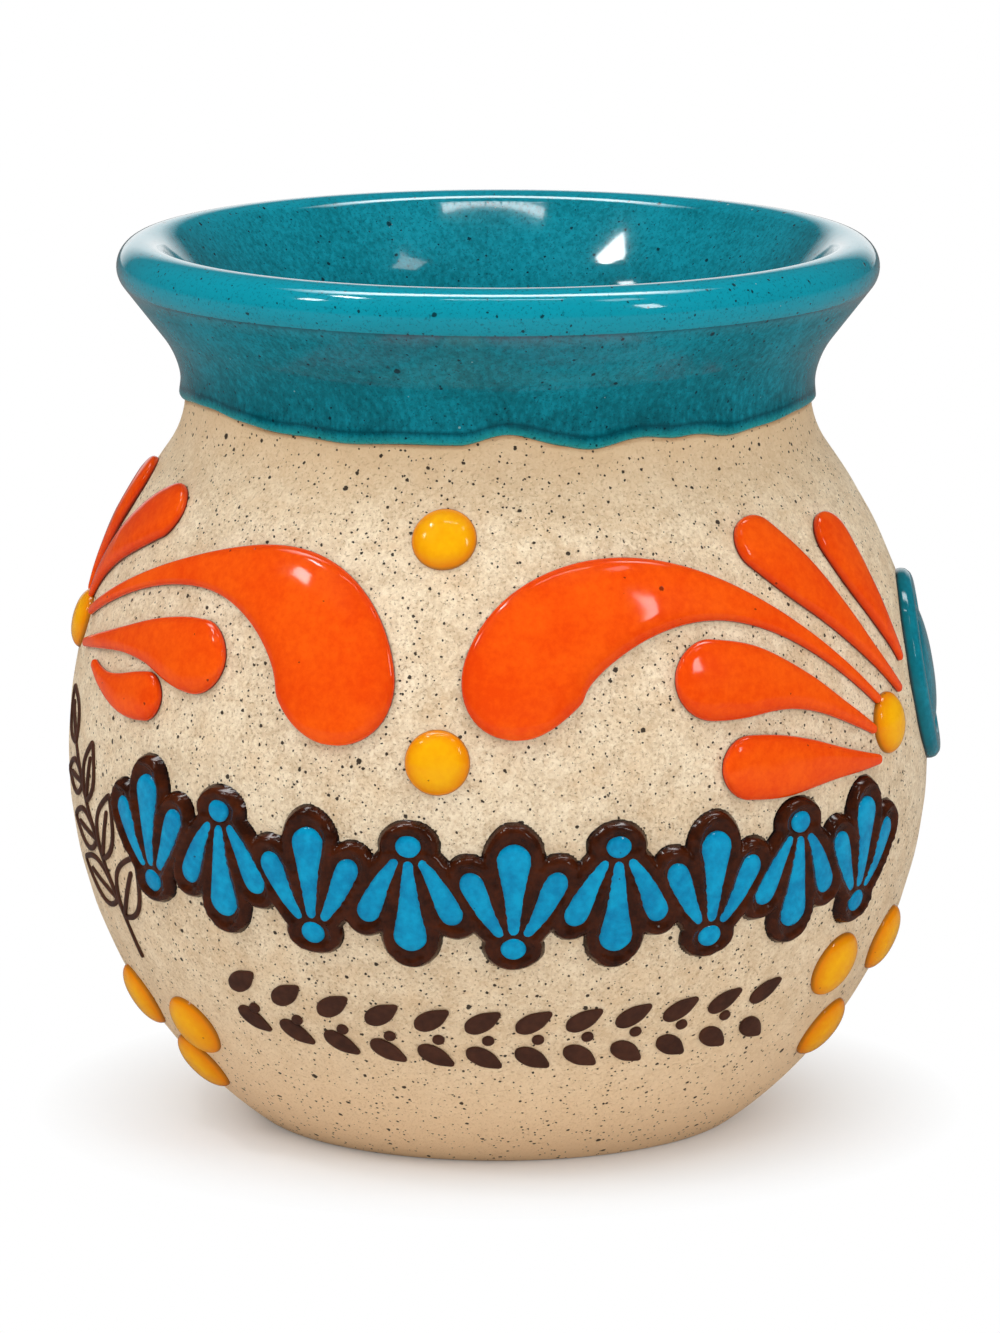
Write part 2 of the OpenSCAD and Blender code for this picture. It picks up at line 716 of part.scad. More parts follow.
// Leaf row: pairs of leaves and single berries in turn along a line below the band, which rises more
// to the left end than to the right end
leaf_pair_count = 12;
leaf_from_angle = -32;
leaf_to_angle = 48;
leaf_mid_z_share = 0.212;
leaf_left_rise_share = 0.032;
leaf_right_rise_share = 0.014;
leaf_lean_angle = 34;
leaf_apart_share = 0.54;
leaf_ring_count = 5;
leaf_crown_count = 3;
leaf_base_count = 2;
berry_share = 0.30;
berry_back_share = 0.06;
berry_side_count = 8;
leaf_shares = [[-0.50, 0.55], [-0.22, 0.95], [0.12, 0.90], [0.50, 0.20]];
function leaf_place(x) =
    let (off = 2 * x - 1, rise_share = off < 0 ? leaf_left_rise_share : leaf_right_rise_share)
    [
        leaf_from_angle + (leaf_to_angle - leaf_from_angle) * x,
        (leaf_mid_z_share + rise_share * off ^ 2) * waist_z,
    ];

module leaf_row() {
    color("#4a2415") {
        for (i = [0 : leaf_pair_count - 1], side = [-1, 1])
            let (p = leaf_place(i / (leaf_pair_count - 1)))
            stroke(
                [for (r = leaf_shares)
                    let (q = moved(
                        p,
                        (r[0] + 0.5) * leaf_l * cos(leaf_lean_angle),
                        side * ((r[0] + 0.5) * leaf_l * sin(leaf_lean_angle) + leaf_w * leaf_apart_share)
                    ))
                    [q[0], q[1] / waist_z, r[1]]],
                leaf_w, leaf_h, leaf_w, seat_gap, leaf_ring_count, leaf_crown_count, leaf_base_count
            );
        for (i = [0 : leaf_pair_count - 2])
            let (p = leaf_place((i + 0.5 - berry_back_share) / (leaf_pair_count - 1)))
            round_relief(
                p[0], p[1], leaf_l * berry_share, leaf_h, seat_gap,
                bead_profile_shares, [], berry_side_count
            );
    }
}

clay_body();
handle();
inner_glaze();
neck_glaze();
scroll_left();
scroll_right();
petal_left_outer();
petal_left_upper();
petal_left_middle();
petal_left_low();
petal_right_outer();
petal_right_upper();
petal_right_middle();
petal_right_low();
centre_dot_upper();
centre_dot_lower();
hub_dot_left();
hub_dot_right();
triad_left();
triad_right();
side_roundel();
band_ground();
band_drops();
band_beads();
leaf_row();
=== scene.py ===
import math

import bmesh
import bpy
import numpy as np
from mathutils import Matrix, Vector


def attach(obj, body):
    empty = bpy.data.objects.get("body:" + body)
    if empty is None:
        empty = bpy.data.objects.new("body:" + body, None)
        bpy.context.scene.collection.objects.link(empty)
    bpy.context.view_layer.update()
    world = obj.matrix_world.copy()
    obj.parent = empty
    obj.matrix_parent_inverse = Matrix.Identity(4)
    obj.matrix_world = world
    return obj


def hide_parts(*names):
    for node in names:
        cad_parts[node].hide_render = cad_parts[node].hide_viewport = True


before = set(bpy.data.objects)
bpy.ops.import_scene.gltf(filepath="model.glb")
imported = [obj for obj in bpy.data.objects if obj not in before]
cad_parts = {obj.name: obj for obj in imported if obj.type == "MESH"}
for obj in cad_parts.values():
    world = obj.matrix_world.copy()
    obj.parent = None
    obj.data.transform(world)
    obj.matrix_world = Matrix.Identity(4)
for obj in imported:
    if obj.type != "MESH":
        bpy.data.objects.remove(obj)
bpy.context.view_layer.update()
scene = bpy.context.scene
mm = 0.001
degree = math.pi / 180
weld = 1e-6  # points closer than this are merged

# Angles round the mug start at the front (-Y) and grow towards +X, as in the CAD source.
# The wall's dimensions, which every piece that sits on it follows.
wall = {
    "bellyRadius": 44.9 * mm,
    "bellyHeight": 38.2 * mm,
    "shoulderHeight": 38 * mm,
    "thickness": 4.9 * mm,
    "waistRadius": 32.4 * mm,
    "neckHeight": 15.8 * mm,
    "rimFlare": 6.7 * mm,
    "waistArcShare": 0.652,
    "footRadius": 24.7 * mm,
    "footRounding": 1.5 * mm,
    "footRing": 4.6 * mm,
    "footRecess": 1.8 * mm,
    "floorHeight": 6.5 * mm,
    "floorRounding": 8 * mm,
    "coat": 0.35 * mm,
}


class Arc:
    # A circle in the plane of radius and height
    def __init__(self, across, up, radius):
        self.across, self.up, self.radius = across, up, radius

    def at(self, turn, lift=0):
        reach = self.radius + lift
        return np.stack([self.across + reach * np.cos(turn), self.up + reach * np.sin(turn)], -1)


def meetingArcs(w):
    # The outline's arcs: each meets the next one smoothly
    rimRound = w["thickness"] / 2
    waistUp = w["bellyHeight"] + w["shoulderHeight"]
    waistRound = w["waistArcShare"] * w["neckHeight"]
    waist = Arc(w["waistRadius"] + waistRound, waistUp, waistRound)
    rimUp = waistUp + w["neckHeight"] - w["coat"] - rimRound
    rim = Arc(w["waistRadius"] + w["rimFlare"] - rimRound, rimUp, rimRound)
    inward = waist.across - w["bellyRadius"]
    shoulderRound = (inward ** 2 + w["shoulderHeight"] ** 2 - waistRound ** 2) / (2 * (waistRound - inward))
    shoulder = Arc(w["bellyRadius"] - shoulderRound, w["bellyHeight"], shoulderRound)
    foot = Arc(w["footRadius"], w["footRounding"], w["footRounding"])
    inward = w["bellyRadius"] - foot.across
    down = w["bellyHeight"] - foot.up
    lowerRound = (inward ** 2 + down ** 2 - foot.radius ** 2) / (2 * (inward - foot.radius))
    lower = Arc(w["bellyRadius"] - lowerRound, w["bellyHeight"], lowerRound)
    floorUp = w["floorHeight"] + w["floorRounding"]
    reach = lowerRound - w["thickness"] - w["floorRounding"]
    floorAcross = lower.across + math.sqrt(reach ** 2 - (w["bellyHeight"] - floorUp) ** 2)
    floor = Arc(floorAcross, floorUp, w["floorRounding"])
    return waist, rim, shoulder, lower, foot, floor


waistArc, rimArc, shoulderArc, lowerArc, footArc, floorArc = meetingArcs(wall)


def turnTo(start, end):
    return math.atan2(end.up - start.up, end.across - start.across)


shoulderTurn = turnTo(shoulderArc, waistArc)
footTurn = turnTo(lowerArc, footArc)
floorTurn = turnTo(lowerArc, floorArc)
rimToWaist = math.hypot(waistArc.up - rimArc.up, waistArc.across - rimArc.across)
flareTurn = turnTo(rimArc, waistArc) + math.acos((rimArc.radius + waistArc.radius) / rimToWaist)
shoulderTop = shoulderArc.up + shoulderArc.radius * math.sin(shoulderTurn)
waistHeight = waistArc.up


def safeRoot(value):
    return np.sqrt(np.maximum(value, 0))


def skinAt(z, root=safeRoot):
    # Radius of the clay's outside at a height and its outward normal there, for numbers and for wires
    low = z < lowerArc.up
    neck = z > shoulderTop
    side = 1 - low - neck
    rise = z - lowerArc.up
    lowReach = root(lowerArc.radius ** 2 - rise * rise)
    sideReach = root(shoulderArc.radius ** 2 - rise * rise)
    neckRise = z - waistArc.up
    neckReach = root(waistArc.radius ** 2 - neckRise * neckRise)
    radius = (
        low * (lowReach + lowerArc.across)
        + side * (sideReach + shoulderArc.across)
        + neck * (waistArc.across - neckReach)
    )
    outward = (
        low * lowReach * (1 / lowerArc.radius)
        + side * sideReach * (1 / shoulderArc.radius)
        + neck * neckReach * (1 / waistArc.radius)
    )
    upward = rise * (low * (1 / lowerArc.radius) + side * (1 / shoulderArc.radius))
    upward = upward - neckRise * neck * (1 / waistArc.radius)
    return radius, outward, upward


def onSkin(angle, z, lift=0):
    # Points that stand off the clay by lift; the angle is in degrees
    radius, outward, upward = skinAt(z)
    reach = radius + lift * outward
    turn = angle * degree
    return np.stack([reach * np.sin(turn), -reach * np.cos(turn), z + lift * upward], -1)


def moved(angle, z, side, up):
    # The angle and height of a place moved sideways and upwards along the skin
    rise = up * skinAt(z)[1]
    return angle + side / (skinAt(z + rise / 2)[0] * degree), z + rise


def along(rows, shares):
    # A smooth curve through the rows of a table, at shares of its way
    table = np.array(rows, float)
    last = len(table) - 1
    i = np.minimum((shares * last).astype(int), last - 1)
    f = (shares * last - i)[:, None]
    p0, p1, p2, p3 = (table[np.clip(i + k, 0, last)] for k in (-1, 0, 1, 2))
    return p1 + f / 2 * (p2 - p0 + f * (2 * p0 - 5 * p1 + 4 * p2 - p3 + f * (3 * p1 - p0 - 3 * p2 + p3)))


def softSteps(count):
    # Shares from 0 to 1, closer together at both ends
    return (1 - np.cos(np.linspace(0, math.pi, count))) / 2


def ripple(turn, seed, waves, low, high):
    # A sum of sines round the mug, about -1 to 1
    chance = np.random.default_rng(seed)
    total = 0
    for _ in range(waves):
        total = total + np.sin(chance.integers(low, high) * turn + chance.uniform(0, 2 * math.pi))
    return total / math.sqrt(waves)


# Node trees

class Wire:
    # A socket that can be used in expressions: each operator adds its Math node
    def __init__(self, tree, socket):
        self.tree, self.socket = tree, socket

    def of(self, name):
        return Wire(self.tree, self.socket.node.outputs[name])

    def calc(self, operation, *others, clamp=False):
        settings = {"operation": operation, "use_clamp": clamp}
        return self.tree.add("ShaderNodeMath", settings, [self, *others])

    def swapped(self, operation, other):
        return self.tree.add("ShaderNodeMath", {"operation": operation}, [other, self])

    def clamped(self):
        return self.calc("ADD", 0.0, clamp=True)

    def root(self):
        return self.calc("SQRT")

    def __add__(self, other): return self.calc("ADD", other)
    def __radd__(self, other): return self.calc("ADD", other)
    def __sub__(self, other): return self.calc("SUBTRACT", other)
    def __rsub__(self, other): return self.swapped("SUBTRACT", other)
    def __mul__(self, other): return self.calc("MULTIPLY", other)
    def __rmul__(self, other): return self.calc("MULTIPLY", other)
    def __truediv__(self, other): return self.calc("DIVIDE", other)
    def __rtruediv__(self, other): return self.swapped("DIVIDE", other)
    def __pow__(self, other): return self.calc("POWER", other)
    def __lt__(self, other): return self.calc("LESS_THAN", other)
    def __gt__(self, other): return self.calc("GREATER_THAN", other)


class Tree:
    def __init__(self, nodeTree):
        self.nodes, self.links = nodeTree.nodes, nodeTree.links

    def feed(self, socket, value):
        if isinstance(value, Wire):
            self.links.new(value.socket, socket)
        elif isinstance(value, list):
            for wire in value:
                self.links.new(wire.socket, socket)
        elif socket.type == "RGBA" and len(value) == 3:
            socket.default_value = (*value, 1)
        else:
            socket.default_value = value

    def add(self, kind, settings=None, inputs=(), output=0):
        # A node of any kind: its settings, then the values or wires of its sockets
        node = self.nodes.new(kind)
        for name, value in (settings or {}).items():
            if name == "curve":
                self.setCurve(node.mapping, value)
            else:
                setattr(node, name, value)
        sockets = [s for s in node.inputs if s.enabled]
        pairs = inputs.items() if isinstance(inputs, dict) else enumerate(inputs)
        for key, value in pairs:
            socket = sockets[key] if isinstance(key, int) else next(s for s in sockets if s.name == key)
            self.feed(socket, value)
        outputs = [s for s in node.outputs if s.enabled]
        if not outputs:
            return None
        return Wire(self, outputs[output] if isinstance(output, int) else node.outputs[output])

    def setCurve(self, mapping, points):
        curve = mapping.curves[0]
        while len(curve.points) < len(points):
            curve.points.new(1, 1)
        for point, place in zip(curve.points, points):
            point.location = place
        mapping.update()

    def parts(self, vector):
        split = self.add("ShaderNodeSeparateXYZ", {}, [vector])
        return split, split.of("Y"), split.of("Z")

    def vector(self, x, y, z):
        return self.add("ShaderNodeCombineXYZ", {}, [x, y, z])

    def polar(self, turn, radius, height):
        # A place by its angle round the mug
        return self.vector(radius * turn.calc("SINE"), radius * turn.calc("COSINE") * -1, height)

    def here(self):
        return self.add("GeometryNodeInputPosition")

    def move(self, geometry, place):
        return self.add("GeometryNodeSetPosition", {}, {"Geometry": geometry, "Position": place})

    def attribute(self, name, kind="FLOAT"):
        return self.add("GeometryNodeInputNamedAttribute", {"data_type": kind}, {"Name": name})

    def fixed(self, name):
        # A value that a finish reads from its piece's points, 0 where the piece has none
        return self.add("ShaderNodeAttribute", {"attribute_name": name}, output="Fac")

    def store(self, geometry, name, value, kind="FLOAT"):
        settings = {"data_type": kind, "domain": "POINT"}
        inputs = {"Geometry": geometry, "Name": name, "Value": value}
        return self.add("GeometryNodeStoreNamedAttribute", settings, inputs)

    def noise(self, vector, size, detail=2.0, roughness=0.5, output="Fac"):
        # Noise with features of a real size, about 0 to 1
        inputs = {"Vector": vector, "Scale": 1 / size, "Detail": detail, "Roughness": roughness}
        return self.add("ShaderNodeTexNoise", {}, inputs, output)

    def mix(self, factor, first, second):
        return self.add("ShaderNodeMix", {"data_type": "RGBA"}, {"Factor": factor, "A": first, "B": second})

    def between(self, value, low, high):
        # 0 below low and 1 above high, straight between
        return ((value - low) * (1 / (high - low))).clamped()


def geometryTree(name, **inputs):
    # A geometry tree with named inputs; returns the group, the tree and its input wires
    group = bpy.data.node_groups.new(name, "GeometryNodeTree")
    kinds = {float: "Float", int: "Int", bpy.types.Material: "Material", bpy.types.Object: "Object"}
    group.interface.new_socket(name="Geometry", in_out="INPUT", socket_type="NodeSocketGeometry")
    for label, kind in inputs.items():
        group.interface.new_socket(name=label, in_out="INPUT", socket_type="NodeSocket" + kinds[kind])
    group.interface.new_socket(name="Geometry", in_out="OUTPUT", socket_type="NodeSocketGeometry")
    tree = Tree(group)
    start = tree.add("NodeGroupInput")
    return group, tree, {"Geometry": start, **{label: start.of(label) for label in inputs}}


def closeTree(tree, geometry, material):
    # Realized, welded, smooth and with its finish
    geometry = tree.add("GeometryNodeRealizeInstances", {}, {"Geometry": geometry})
    geometry = tree.add("GeometryNodeMergeByDistance", {}, {"Geometry": geometry, "Distance": weld})
    geometry = tree.add("GeometryNodeSetShadeSmooth", {}, {"Geometry": geometry})
    geometry = tree.add("GeometryNodeSetMaterial", {}, {"Geometry": geometry, "Material": material})
    tree.add("NodeGroupOutput", {}, [geometry])


def linkObject(name, mesh):
    piece = bpy.data.objects.new(name, mesh)
    scene.collection.objects.link(piece)
    return piece


def plainMesh(name, points, edges=(), faces=(), **attributes):
    mesh = bpy.data.meshes.new(name)
    mesh.from_pydata([tuple(p) for p in points], list(edges), [tuple(f) for f in faces])
    for label, values in attributes.items():
        values = np.asarray(values, np.float32)
        kind, field = ("FLOAT_VECTOR", "vector") if values.ndim == 2 else ("FLOAT", "value")
        mesh.attributes.new(label, kind, "POINT").data.foreach_set(field, values.ravel())
    return mesh


def gridFaces(across, around, closed=True):
    # Quads of a grid that closes round and, where it is closed, across too
    i, j = np.meshgrid(np.arange(across if closed else across - 1), np.arange(around), indexing="ij")
    nextI, nextJ = (i + 1) % across, (j + 1) % around
    corners = [i * around + j, nextI * around + j, nextI * around + nextJ, i * around + nextJ]
    return np.stack(corners, -1).reshape(-1, 4).tolist()


def tidyMesh(mesh):
    # Doubles merged, then faces turned outwards
    work = bmesh.new()
    work.from_mesh(mesh)
    bmesh.ops.remove_doubles(work, verts=work.verts, dist=weld)
    bmesh.ops.dissolve_degenerate(work, dist=weld / 10, edges=work.edges)
    bmesh.ops.recalc_face_normals(work, faces=work.faces)
    for face in work.faces:
        face.smooth = True
    work.to_mesh(mesh)
    work.free()


def runTree(name, group, values, mesh):
    # The tree's result as a plain mesh on an object without modifiers
    piece = linkObject(name, mesh)
    modifier = piece.modifiers.new("build", "NODES")
    modifier.node_group = group
    for item in group.interface.items_tree:
        if item.in_out == "INPUT" and item.name in values:
            modifier[item.identifier] = values[item.name]
    graph = bpy.context.evaluated_depsgraph_get()
    made = bpy.data.meshes.new_from_object(
        piece.evaluated_get(graph), preserve_all_data_layers=True, depsgraph=graph
    )
    piece.modifiers.remove(modifier)
    piece.data = made
    made.name = name
    tidyMesh(made)
    return piece


def meshPiece(name, points, faces, finish, **attributes):
    mesh = plainMesh(name, points, faces=faces, **attributes)
    mesh.materials.append(finish)
    tidyMesh(mesh)
    return linkObject(name, mesh)


def dropHelper(helper):
    mesh = helper.data
    bpy.data.objects.remove(helper)
    bpy.data.meshes.remove(mesh)


def settle(piece, slot, *nodes):
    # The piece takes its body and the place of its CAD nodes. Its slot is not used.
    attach(piece, "root")
    if nodes:
        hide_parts(*nodes)
    print("piece", piece.name, len(piece.data.polygons), "faces")


# Finishes

def newFinish(name):
    finish = bpy.data.materials.new(name)
    finish.use_nodes = True
    finish.node_tree.nodes.clear()
    tree = Tree(finish.node_tree)
    place = tree.add("ShaderNodeTexCoord", output="Object")
    return finish, tree, place


def closeFinish(tree, inputs, height, depth):
    # The Principled shader with its bump
    bump = {"Strength": 1.0, "Distance": depth, "Height": height}
    inputs["Normal"] = tree.add("ShaderNodeBump", {}, bump)
    shader = tree.add("ShaderNodeBsdfPrincipled", {}, inputs, "BSDF")
    tree.add("ShaderNodeOutputMaterial", {}, {"Surface": shader})


def shifted(tree, place, by):
    return tree.add("ShaderNodeVectorMath", {"operation": "ADD"}, [place, by])


def scaled(tree, place, by):
    return tree.add("ShaderNodeVectorMath", {"operation": "MULTIPLY"}, [place, by])


def weighed(shares, *wires):
    # The sum of the wires, each times its share
    return sum(wire * share for wire, share in zip(wires, shares))


def laid(tree, colour, values, layer, mask):
    # The colour of a layer over the one below, by its mask and its tone
    return tree.mix(mask * values[layer + "Tone"], colour, values[layer + "Colour"])


speckShape = {
    "smallest": 0.4,  # as a share of the largest
    "seedWay": (1, 0.7, 0.4),  # each layer's cells are moved this way by its seed
    "bendNoise": (0.35 * mm, 2.0, 0.6),
    "bend": 0.3 * mm,
}


def specks(tree, place, layer, soft):
    # Spots of a layer: the size of its cells, its largest radius, the share of cells with a spot, its seed
    cell, radius, share, seed = layer
    place = shifted(tree, place, tuple(seed * step for step in speckShape["seedWay"]))
    spots = tree.add("ShaderNodeTexVoronoi", {}, {"Vector": place, "Scale": 1 / cell}, "Distance")
    chance, size, _ = tree.parts(spots.of("Color"))
    smallest = speckShape["smallest"]
    reach = (size * (1 - smallest) + smallest) * (radius / cell)
    inside = ((reach - spots) / (reach * soft)).clamped()
    return inside * (chance < share)


def speckled(tree, place, values):
    # All layers of specks, bent out of round
    wander = tree.noise(place, *speckShape["bendNoise"], "Color")
    bent = shifted(tree, place, scaled(tree, wander, (speckShape["bend"],) * 3))
    first, *others = [specks(tree, bent, layer, values["speckSoft"]) for layer in values["specks"]]
    for other in others:
        first = first.calc("MAXIMUM", other)
    return first


def clayFinish(values):
    finish, tree, place = newFinish("speckledClay")
    broad, middle, fine = (tree.noise(place, *values[label]) for label in ("patches", "mottles", "grain"))
    tone = tree.between(weighed(values["toneShares"], broad, middle, fine), *values["toneRange"])
    colour = tree.mix(tone, values["darkColour"], values["paleColour"])
    warm = tree.between(tree.noise(place, *values["warmNoise"]), *values["warmRange"])
    colour = laid(tree, colour, values, "warm", warm)
    # Drag lines run round the mug where the wall was wiped while it turned
    _, _, height = tree.parts(place)
    sway = tree.noise(place, *values["swayNoise"]) * values["sway"]
    lines = tree.noise(tree.vector(sway, 0.0, height), *values["lineNoise"])
    colour = laid(tree, colour, values, "line", tree.between(lines, *values["lineRange"]))
    grit = tree.between(tree.noise(place, *values["gritNoise"]), *values["gritRange"])
    colour = laid(tree, colour, values, "grit", grit)
    # Darker and warmer towards the foot and under the neck: partly the clay's warmer tone, partly painted
    # shade on the low belly and under the overhanging neck; stained where the neck's glaze ends
    stain = tree.fixed("stain")
    low = (1 - tree.between(height, *values["lowWarmShadeRange"])) * values["lowTone"]
    colour = tree.mix(low.calc("MAXIMUM", stain * values["neckShadeTone"]), colour, values["lowWarmShadeColour"])
    # Paler near the foot: painted light standing in for the white floor's bounce
    colour = laid(tree, colour, values, "foot", 1 - tree.between(height, *values["footBounceRange"]))
    stain = tree.between(stain + (fine - 0.5) * values["stainFray"], *values["stainRange"])
    colour = laid(tree, colour, values, "stain", stain)
    dark = speckled(tree, place, values)
    colour = laid(tree, colour, values, "speck", dark)
    pits = specks(tree, place, values["pits"], values["pitSoft"])
    inputs = {
        "Base Color": colour,
        "Roughness": tree.between(fine, *values["roughRange"]) * values["roughSpread"] + values["roughness"],
        "Specular IOR Level": values["gloss"],
    }
    height = weighed(values["bumpShares"], fine, lines, middle, grit, dark, pits)
    closeFinish(tree, inputs, height, values["bumpDepth"])
    return finish


def glazeFinish(values):
    finish, tree, place = newFinish("turquoiseGlaze")
    broad = tree.noise(place, *values["pools"])
    runs = tree.noise(scaled(tree, place, (1, 1, values["runStretch"])), *values["runs"])
    fine = tree.noise(place, *values["mottles"])
    tone = tree.between(weighed(values["toneShares"], broad, runs, fine), *values["toneRange"])
    colour = tree.mix(tone, values["deepColour"], values["brightColour"])
    # Darker over the neck and darkest where the glaze gathered low on it: partly thick glaze, partly painted
    # shade of the neck that faces down. Brighter over the rim: partly thin glaze, partly painted light on the
    # rim that faces up
    gather = tree.fixed("gather")
    pool = tree.between(gather, *values["neckShadeRange"]) * values["neckShadeTone"]
    pool = pool + gather * gather * values["poolAndShadeTone"]
    pool = pool * ((0.5 - tone) * values["poolUneven"] + 1)
    colour = tree.mix(pool, colour, values["poolAndShadeColour"])
    thin = (tree.fixed("thinRim") + (broad - 0.5) * values["rimUneven"]).clamped()
    colour = laid(tree, colour, values, "rim", thin)
    # A thin dark line above the dip line, painted shade in the fold under the rim, and greenish at the very
    # edge
    edge = tree.fixed("dipEdge")
    line = 1 - ((edge - values["lineAt"]).calc("ABSOLUTE") * (1 / values["lineHalf"])).clamped()
    foldShade = (1 - tree.between(gather, *values["foldShadeRange"])) * (gather > 0.0)
    line = (line * values["lineTone"]).calc("MAXIMUM", foldShade * values["foldShadeTone"])
    colour = tree.mix(line, colour, values["lineColour"])
    colour = laid(tree, colour, values, "edge", tree.between(edge, *values["edgeRange"]))
    grain = tree.between(tree.noise(place, *values["grainNoise"]), *values["grainRange"])
    colour = laid(tree, colour, values, "grain", grain)
    dark = speckled(tree, place, values)
    colour = laid(tree, colour, values, "speck", dark)
    pits = specks(tree, place, values["pits"], values["pitSoft"])
    # Pale pinholes, partly painted glints in them
    colour = laid(tree, colour, values, "pit", pits)
    inputs = {
        "Base Color": colour,
        "Roughness": fine * values["roughSpread"] + values["roughness"],
        "Specular IOR Level": values["gloss"],
        "Coat Weight": 1 - tree.between(gather, *values["coatRange"]) * values["coatLoss"],
        "Coat Roughness": values["roughness"],
    }
    height = weighed(values["bumpShares"], broad, runs, pits, dark)
    closeFinish(tree, inputs, height, values["bumpDepth"])
    return finish


def enamelFinish(name, values):
    # A raised enamel: "rise" is 0 at its edge and 1 on its top
    finish, tree, place = newFinish(name)
    rise = tree.fixed("rise")
    broad, fine, wave = (tree.noise(place, *values[label]) for label in ("pools", "mottles", "waves"))
    tone = tree.between(weighed(values["toneShares"], broad, fine), *values["toneRange"])
    colour = tree.mix(tone, values["deepColour"], values["brightColour"])
    # Darker where the enamel thins towards its edge; on the orange and yellow partly painted shade of their
    # rounded sides
    thin = 1 - tree.between(rise + (fine - 0.5) * values["thinUneven"], *values["thinRange"])
    colour = laid(tree, colour, values, "thin", thin)
    # Darker at the foot: on the orange and yellow painted contact shade, on the other finishes an outline of
    # their own
    colour = tree.mix(1 - tree.between(rise, *values["edgeRange"]), colour, values["edgeColour"])
    dark = speckled(tree, place, values)
    colour = laid(tree, colour, values, "speck", dark)
    inputs = {
        "Base Color": colour,
        "Roughness": fine * values["roughSpread"] + values["roughness"],
        "Specular IOR Level": values["gloss"],
    }
    closeFinish(tree, inputs, weighed(values["bumpShares"], wave, dark), values["bumpDepth"])
    return finish


# Noises are rows of size, detail and roughness. Layers of specks are rows of cell size, largest radius,
# share of the cells and seed. A layer's tone says how strongly its colour covers the one below.
clayValues = {
    "paleColour": (0.97, 0.81, 0.585),
    "darkColour": (0.70, 0.52, 0.33),
    "patches": (14 * mm, 3.0, 0.55),
    "mottles": (2.6 * mm, 3.0, 0.6),
    "grain": (0.45 * mm, 3.0, 0.7),
    "toneShares": (0.16, 0.34, 0.5),  # of patches, mottles and grain
    "toneRange": (0.405, 0.595),
    "warmColour": (0.78, 0.54, 0.31),
    "warmTone": 0.35,
    "warmNoise": (4.2 * mm, 4.0, 0.6),
    "warmRange": (0.48, 0.66),
    "lineColour": (0.78, 0.54, 0.31),
    "lineTone": 0.25,
    "lineNoise": (1.1 * mm, 2.0),
    "lineRange": (0.55, 0.75),
    "swayNoise": (14 * mm, 1.0),
    "sway": 18.75 * mm,  # how far the drag lines stray
    "gritColour": (0.36, 0.22, 0.11),
    "gritTone": 0.55,
    "gritNoise": (0.28 * mm, 2.0, 0.7),
    "gritRange": (0.57, 0.68),
    # Darker and warmer low on the belly: partly the clay's tone, partly painted shade
    "lowWarmShadeColour": (0.77, 0.53, 0.30),
    "lowTone": 0.7,
    "lowWarmShadeRange": (2 * mm, 34 * mm),
    "neckShadeTone": 0.9,  # the low clay's colour again under the neck, partly as painted shade
    # Painted light near the foot, for the floor's bounce
    "footColour": (0.96, 0.68, 0.42),
    "footTone": 0.9,
    "footBounceRange": (2 * mm, 17 * mm),
    "stainColour": (0.42, 0.17, 0.05),
    "stainTone": 0.75,
    "stainRange": (0.95, 1.0),
    "stainFray": 0.02,
    "speckColour": (0.016, 0.008, 0.004),
    "speckTone": 0.94,
    "speckSoft": 0.12,
    "specks": [
        (0.6 * mm, 0.15 * mm, 0.7, 0.11), (1.2 * mm, 0.235 * mm, 0.55, 0.23),
        (2.8 * mm, 0.38 * mm, 0.45, 0.47),
    ],
    "pits": (1.3 * mm, 0.2 * mm, 0.5, 0.31),
    "pitSoft": 0.6,
    "roughness": 0.5,
    "roughSpread": 0.16,
    "roughRange": (0.2, 0.8),
    "gloss": 0.3,
    "bumpShares": (0.5, 0.4, 0.4, -0.3, -0.4, -0.9),  # of grain, lines, mottles, grit, specks and pits
    "bumpDepth": 0.13 * mm,
}
